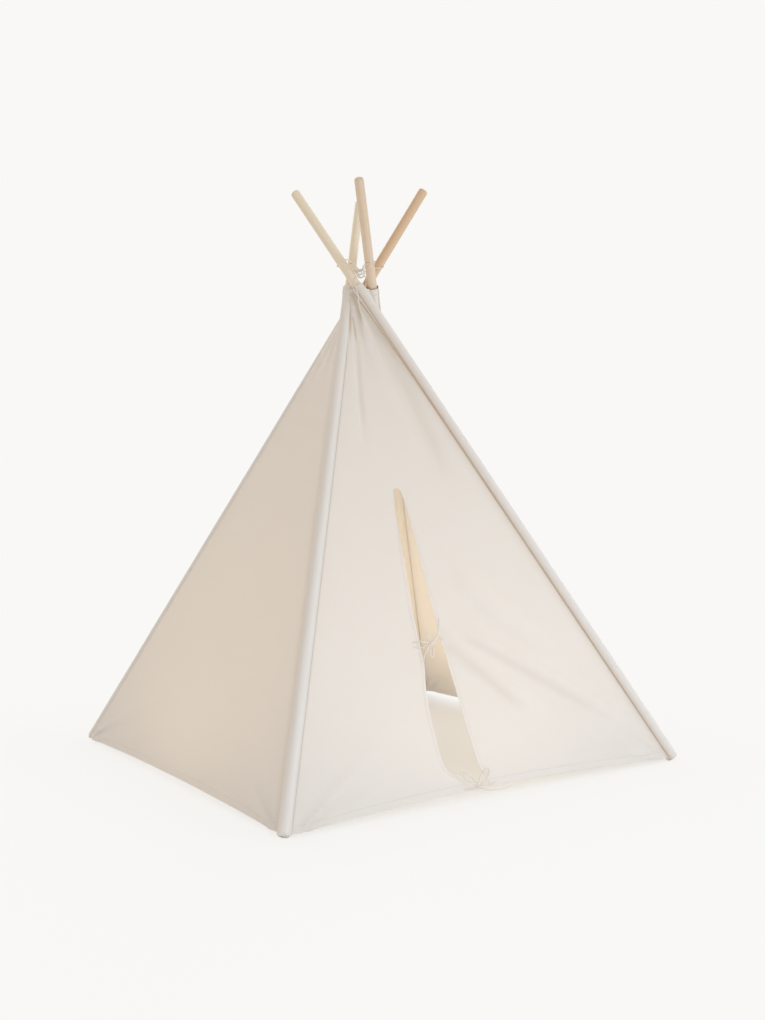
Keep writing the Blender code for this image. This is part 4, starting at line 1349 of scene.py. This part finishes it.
def mouth_line(number, place, top):
    """The stitched line round a pocket's mouth."""
    loop, outs = [], []
    for a in np.linspace(0, 2 * math.pi, MOUTH_STITCH_STEPS):
        size = SLEEVE_OUTER + MOUTH_STITCH_LIFT + mouth_flare(MOUTH_STITCH_DEPTH, a, number)
        loop.append(place @ Vector((math.cos(a) * size, math.sin(a) * size, top - MOUTH_STITCH_DEPTH)))
        outs.append(place.to_3x3() @ Vector((math.cos(a), math.sin(a), 0)))
    return np.array(loop), np.array(outs)


def sleeve(number):
    """A pole's canvas pocket: closed and puckered at the foot, a little wrinkled, open and hemmed on top."""
    corner = Corner(number)
    place = corner.frame(corner.foot)
    end = pocket_end(corner.tilt)
    top = SLEEVE_TOP_HEIGHT / math.cos(corner.tilt)
    angles = np.linspace(0, 2 * math.pi, SLEEVE_COLUMNS, endpoint=False)
    outer = [sleeve_ring(*row, end, top, number, angles) for row in sleeve_profile(end, top)]
    rings = lined(outer)
    points = [place @ Vector(p) for ring in rings for p in ring]
    points = [Vector((p.x, p.y, max(p.z, 0.0))) for p in points]
    name = f"sleeve_at_{corner.name}"
    mesh = mesh_of(name, points, tube_faces(len(rings), SLEEVE_COLUMNS), sharp_degrees=50.0)
    places = [(a * SLEEVE_OUTER, ring[0][2], 8.0 + number) for ring in rings for a in angles]
    mark_points(mesh, places, sleeve_shades(number, place, angles, len(outer), len(rings) - len(outer)))
    obj = add_object(name, mesh, POCKET_CANVAS)
    stitches = stitch_mesh(name, [mouth_line(number, place, top)])
    thread = add_object(name + "_stitches", stitches, THREAD_FINISH)
    for piece in (obj, thread):
        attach(piece, corner.name)
    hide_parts(f"{corner.name}_sleeve")
    flat = (round(2 * math.pi * SLEEVE_OUTER, 3), round(top - end + SLEEVE_OUTER, 3))


def turned_mesh(name, profile, sides):
    """A closed mesh turned about Z from a profile of (distance out, height) that starts and ends on it."""
    shape = bmesh.new()
    ring = [shape.verts.new((x, 0, z)) for x, z in profile]
    edges = [shape.edges.new(pair) for pair in zip(ring, ring[1:])]
    bmesh.ops.spin(
        shape, geom=ring + edges, axis=(0, 0, 1), cent=(0, 0, 0),
        steps=sides, angle=2 * math.pi, use_merge=True,
    )
    bmesh.ops.remove_doubles(shape, verts=shape.verts, dist=0.003 * MM)
    bmesh.ops.recalc_face_normals(shape, faces=shape.faces)
    mesh = bpy.data.meshes.new(name)
    shape.to_mesh(mesh)
    shape.free()
    mesh.shade_smooth()
    mesh.set_sharp_from_angle(angle=WOOD_SHARP)
    return mesh


def arc(centre, radius, start, end, steps):
    angles = np.radians(np.linspace(start, end, steps + 1))
    return [(centre[0] + radius * math.cos(a), centre[1] + radius * math.sin(a)) for a in angles]


def hole_cutter(radius, depth):
    """A rod that drills the cord's hole through a pole, square to its hinge axis."""
    shape = bmesh.new()
    bmesh.ops.create_cone(
        shape, cap_ends=True, segments=32, radius1=radius, radius2=radius, depth=depth,
        matrix=Matrix.Rotation(math.pi / 2, 4, "X"),
    )
    mesh = bpy.data.meshes.new("hole_cutter")
    shape.to_mesh(mesh)
    shape.free()
    return placed("hole_cutter", mesh)


def drill(obj, corner):
    """Cuts the cord's hole out of a pole's upper half."""
    bpy.context.view_layer.update()
    cutter = hole_cutter(HOLE_DIAMETER / 2, 4 * POLE_RADIUS)
    cutter.matrix_world = corner.frame(corner.hole)
    cut = obj.modifiers.new("cord_hole", "BOOLEAN")
    cut.operation = "DIFFERENCE"
    cut.solver = "EXACT"
    cut.object = cutter
    bpy.context.view_layer.update()
    final = bpy.data.meshes.new_from_object(obj.evaluated_get(bpy.context.evaluated_depsgraph_get()))
    obj.modifiers.clear()
    obj.data = final
    final.shade_smooth()
    final.set_sharp_from_angle(angle=WOOD_SHARP)
    bpy.data.objects.remove(cutter, do_unlink=True)


def poles(number):
    """The two halves of one pole."""
    corner = Corner(number)
    foot = pocket_end(corner.tilt) + SOLID_CLOTH + FIT_GAP
    joint = foot + POLE_LENGTH / 2
    top = foot + POLE_LENGTH
    lower = [(0, foot), *arc((POLE_RADIUS - FOOT_ROUND, foot + FOOT_ROUND), FOOT_ROUND, -90, 0, 5)]
    lower += [(POLE_RADIUS, joint - FIT_GAP), (0, joint - FIT_GAP)]
    upper = [(0, joint + FIT_GAP), (POLE_RADIUS, joint + FIT_GAP)]
    upper += [(POLE_RADIUS, joint + POLE_RING_STEP), (POLE_RADIUS, joint + POLE_RING_STEP * 2)]
    upper += [*arc((POLE_RADIUS - TOP_ROUND, top - TOP_ROUND), TOP_ROUND, 0, 84, 9), (0, top)]
    for half, profile in (("lower", lower), ("upper", upper)):
        name = f"{corner.name}_pole_{half}"
        obj = add_object(name, turned_mesh(name, profile, POLE_SIDES), WOODS[number])
        obj.matrix_world = corner.frame(corner.foot)
        if half == "upper":
            drill(obj, corner)
        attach(obj, corner.name)
        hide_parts(f"{corner.name}_{half}_pole")


def ferrules():
    """The tubes that join each pole's halves, inside the sleeves."""
    for name in CORNERS:
        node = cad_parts[f"{name}_ferrule"]
        node.data.materials.clear()
        node.data.materials.append(TUBE)


def surround():
    """The world: soft light on the object, and the backdrop's colour in view and in whatever mirrors it."""
    world = bpy.data.worlds.new("soft_surround")
    bpy.context.scene.world = world
    f = Finish(world, "ShaderNodeOutputWorld")
    shown = f.node("ShaderNodeBackground", {}, {"Color": (*BACKDROP, 1.0)})
    lit = f.node("ShaderNodeBackground", {}, {"Color": (*SURROUND_TONE, 1.0), "Strength": SURROUND_LIGHT})
    rays = f.node("ShaderNodeLightPath").socket.node.outputs
    seen, glossy, glass = [Value(f, rays[f"Is {kind} Ray"]) for kind in ("Camera", "Glossy", "Transmission")]
    seen = seen.math("MAXIMUM", glossy.math("MAXIMUM", glass))
    f.done(f.node("ShaderNodeMixShader", {}, {0: seen, 1: lit, 2: shown}))


def floor():
    mesh = bpy.data.meshes.new("floor")
    corners = [(x * FLOOR_REACH, y * FLOOR_REACH, 0) for x, y in ((-1, -1), (1, -1), (1, 1), (-1, 1))]
    mesh.from_pydata(corners, [], [(0, 1, 2, 3)])
    add_object("floor", mesh, floor_finish())


def lamp(name, place, target, size, power, colour):
    data = bpy.data.lights.new(name, "AREA")
    data.shape = "DISK"
    data.size = size
    data.energy = power
    data.color = colour
    obj = placed(name, data)
    obj.visible_camera = False
    way = Vector(target) - Vector(place)
    obj.matrix_world = Matrix.Translation(place) @ way.to_track_quat("-Z", "Y").to_matrix().to_4x4()


CANVAS = canvas_finish("canvas", 0.31, ((0.945, 0.930, 0.912), (0.965, 0.953, 0.940)))
POCKET_CANVAS = canvas_finish("pocket_canvas", 0.14, ((0.972, 0.945, 0.915), (0.985, 0.962, 0.936)))
THREAD_FINISH = thread_finish()
CORD = cord_finish()
PALE_PINE = wood_finish("pale_pine", (0.94, 0.86, 0.71), (0.87, 0.76, 0.60))
ROSY_PINE = wood_finish("rosy_pine", (0.86, 0.72, 0.57), (0.76, 0.60, 0.45))
WARM_PINE = wood_finish("warm_pine", (0.83, 0.63, 0.44), (0.70, 0.49, 0.32))
WOODS = (PALE_PINE, PALE_PINE, ROSY_PINE, WARM_PINE)
TUBE = ferrule_finish()


def main():
    bpy.context.scene.view_settings.view_transform = "Standard"
    camera()
    lashing()
    for pieces, side in zip(bows(), (-1, 1)):
        for piece in pieces:
            flatten(piece, FRONT, side)
    for number in range(4):
        poles(number)
        sleeve(number)
        for side in (-1, 1):
            wall_half(Wall(number), side)
    for side in (-1, 1):
        door_flap(side)
    ferrules()
    floor()
    surround()
    for kind in LAMPS:
        lamp(*kind)


main()
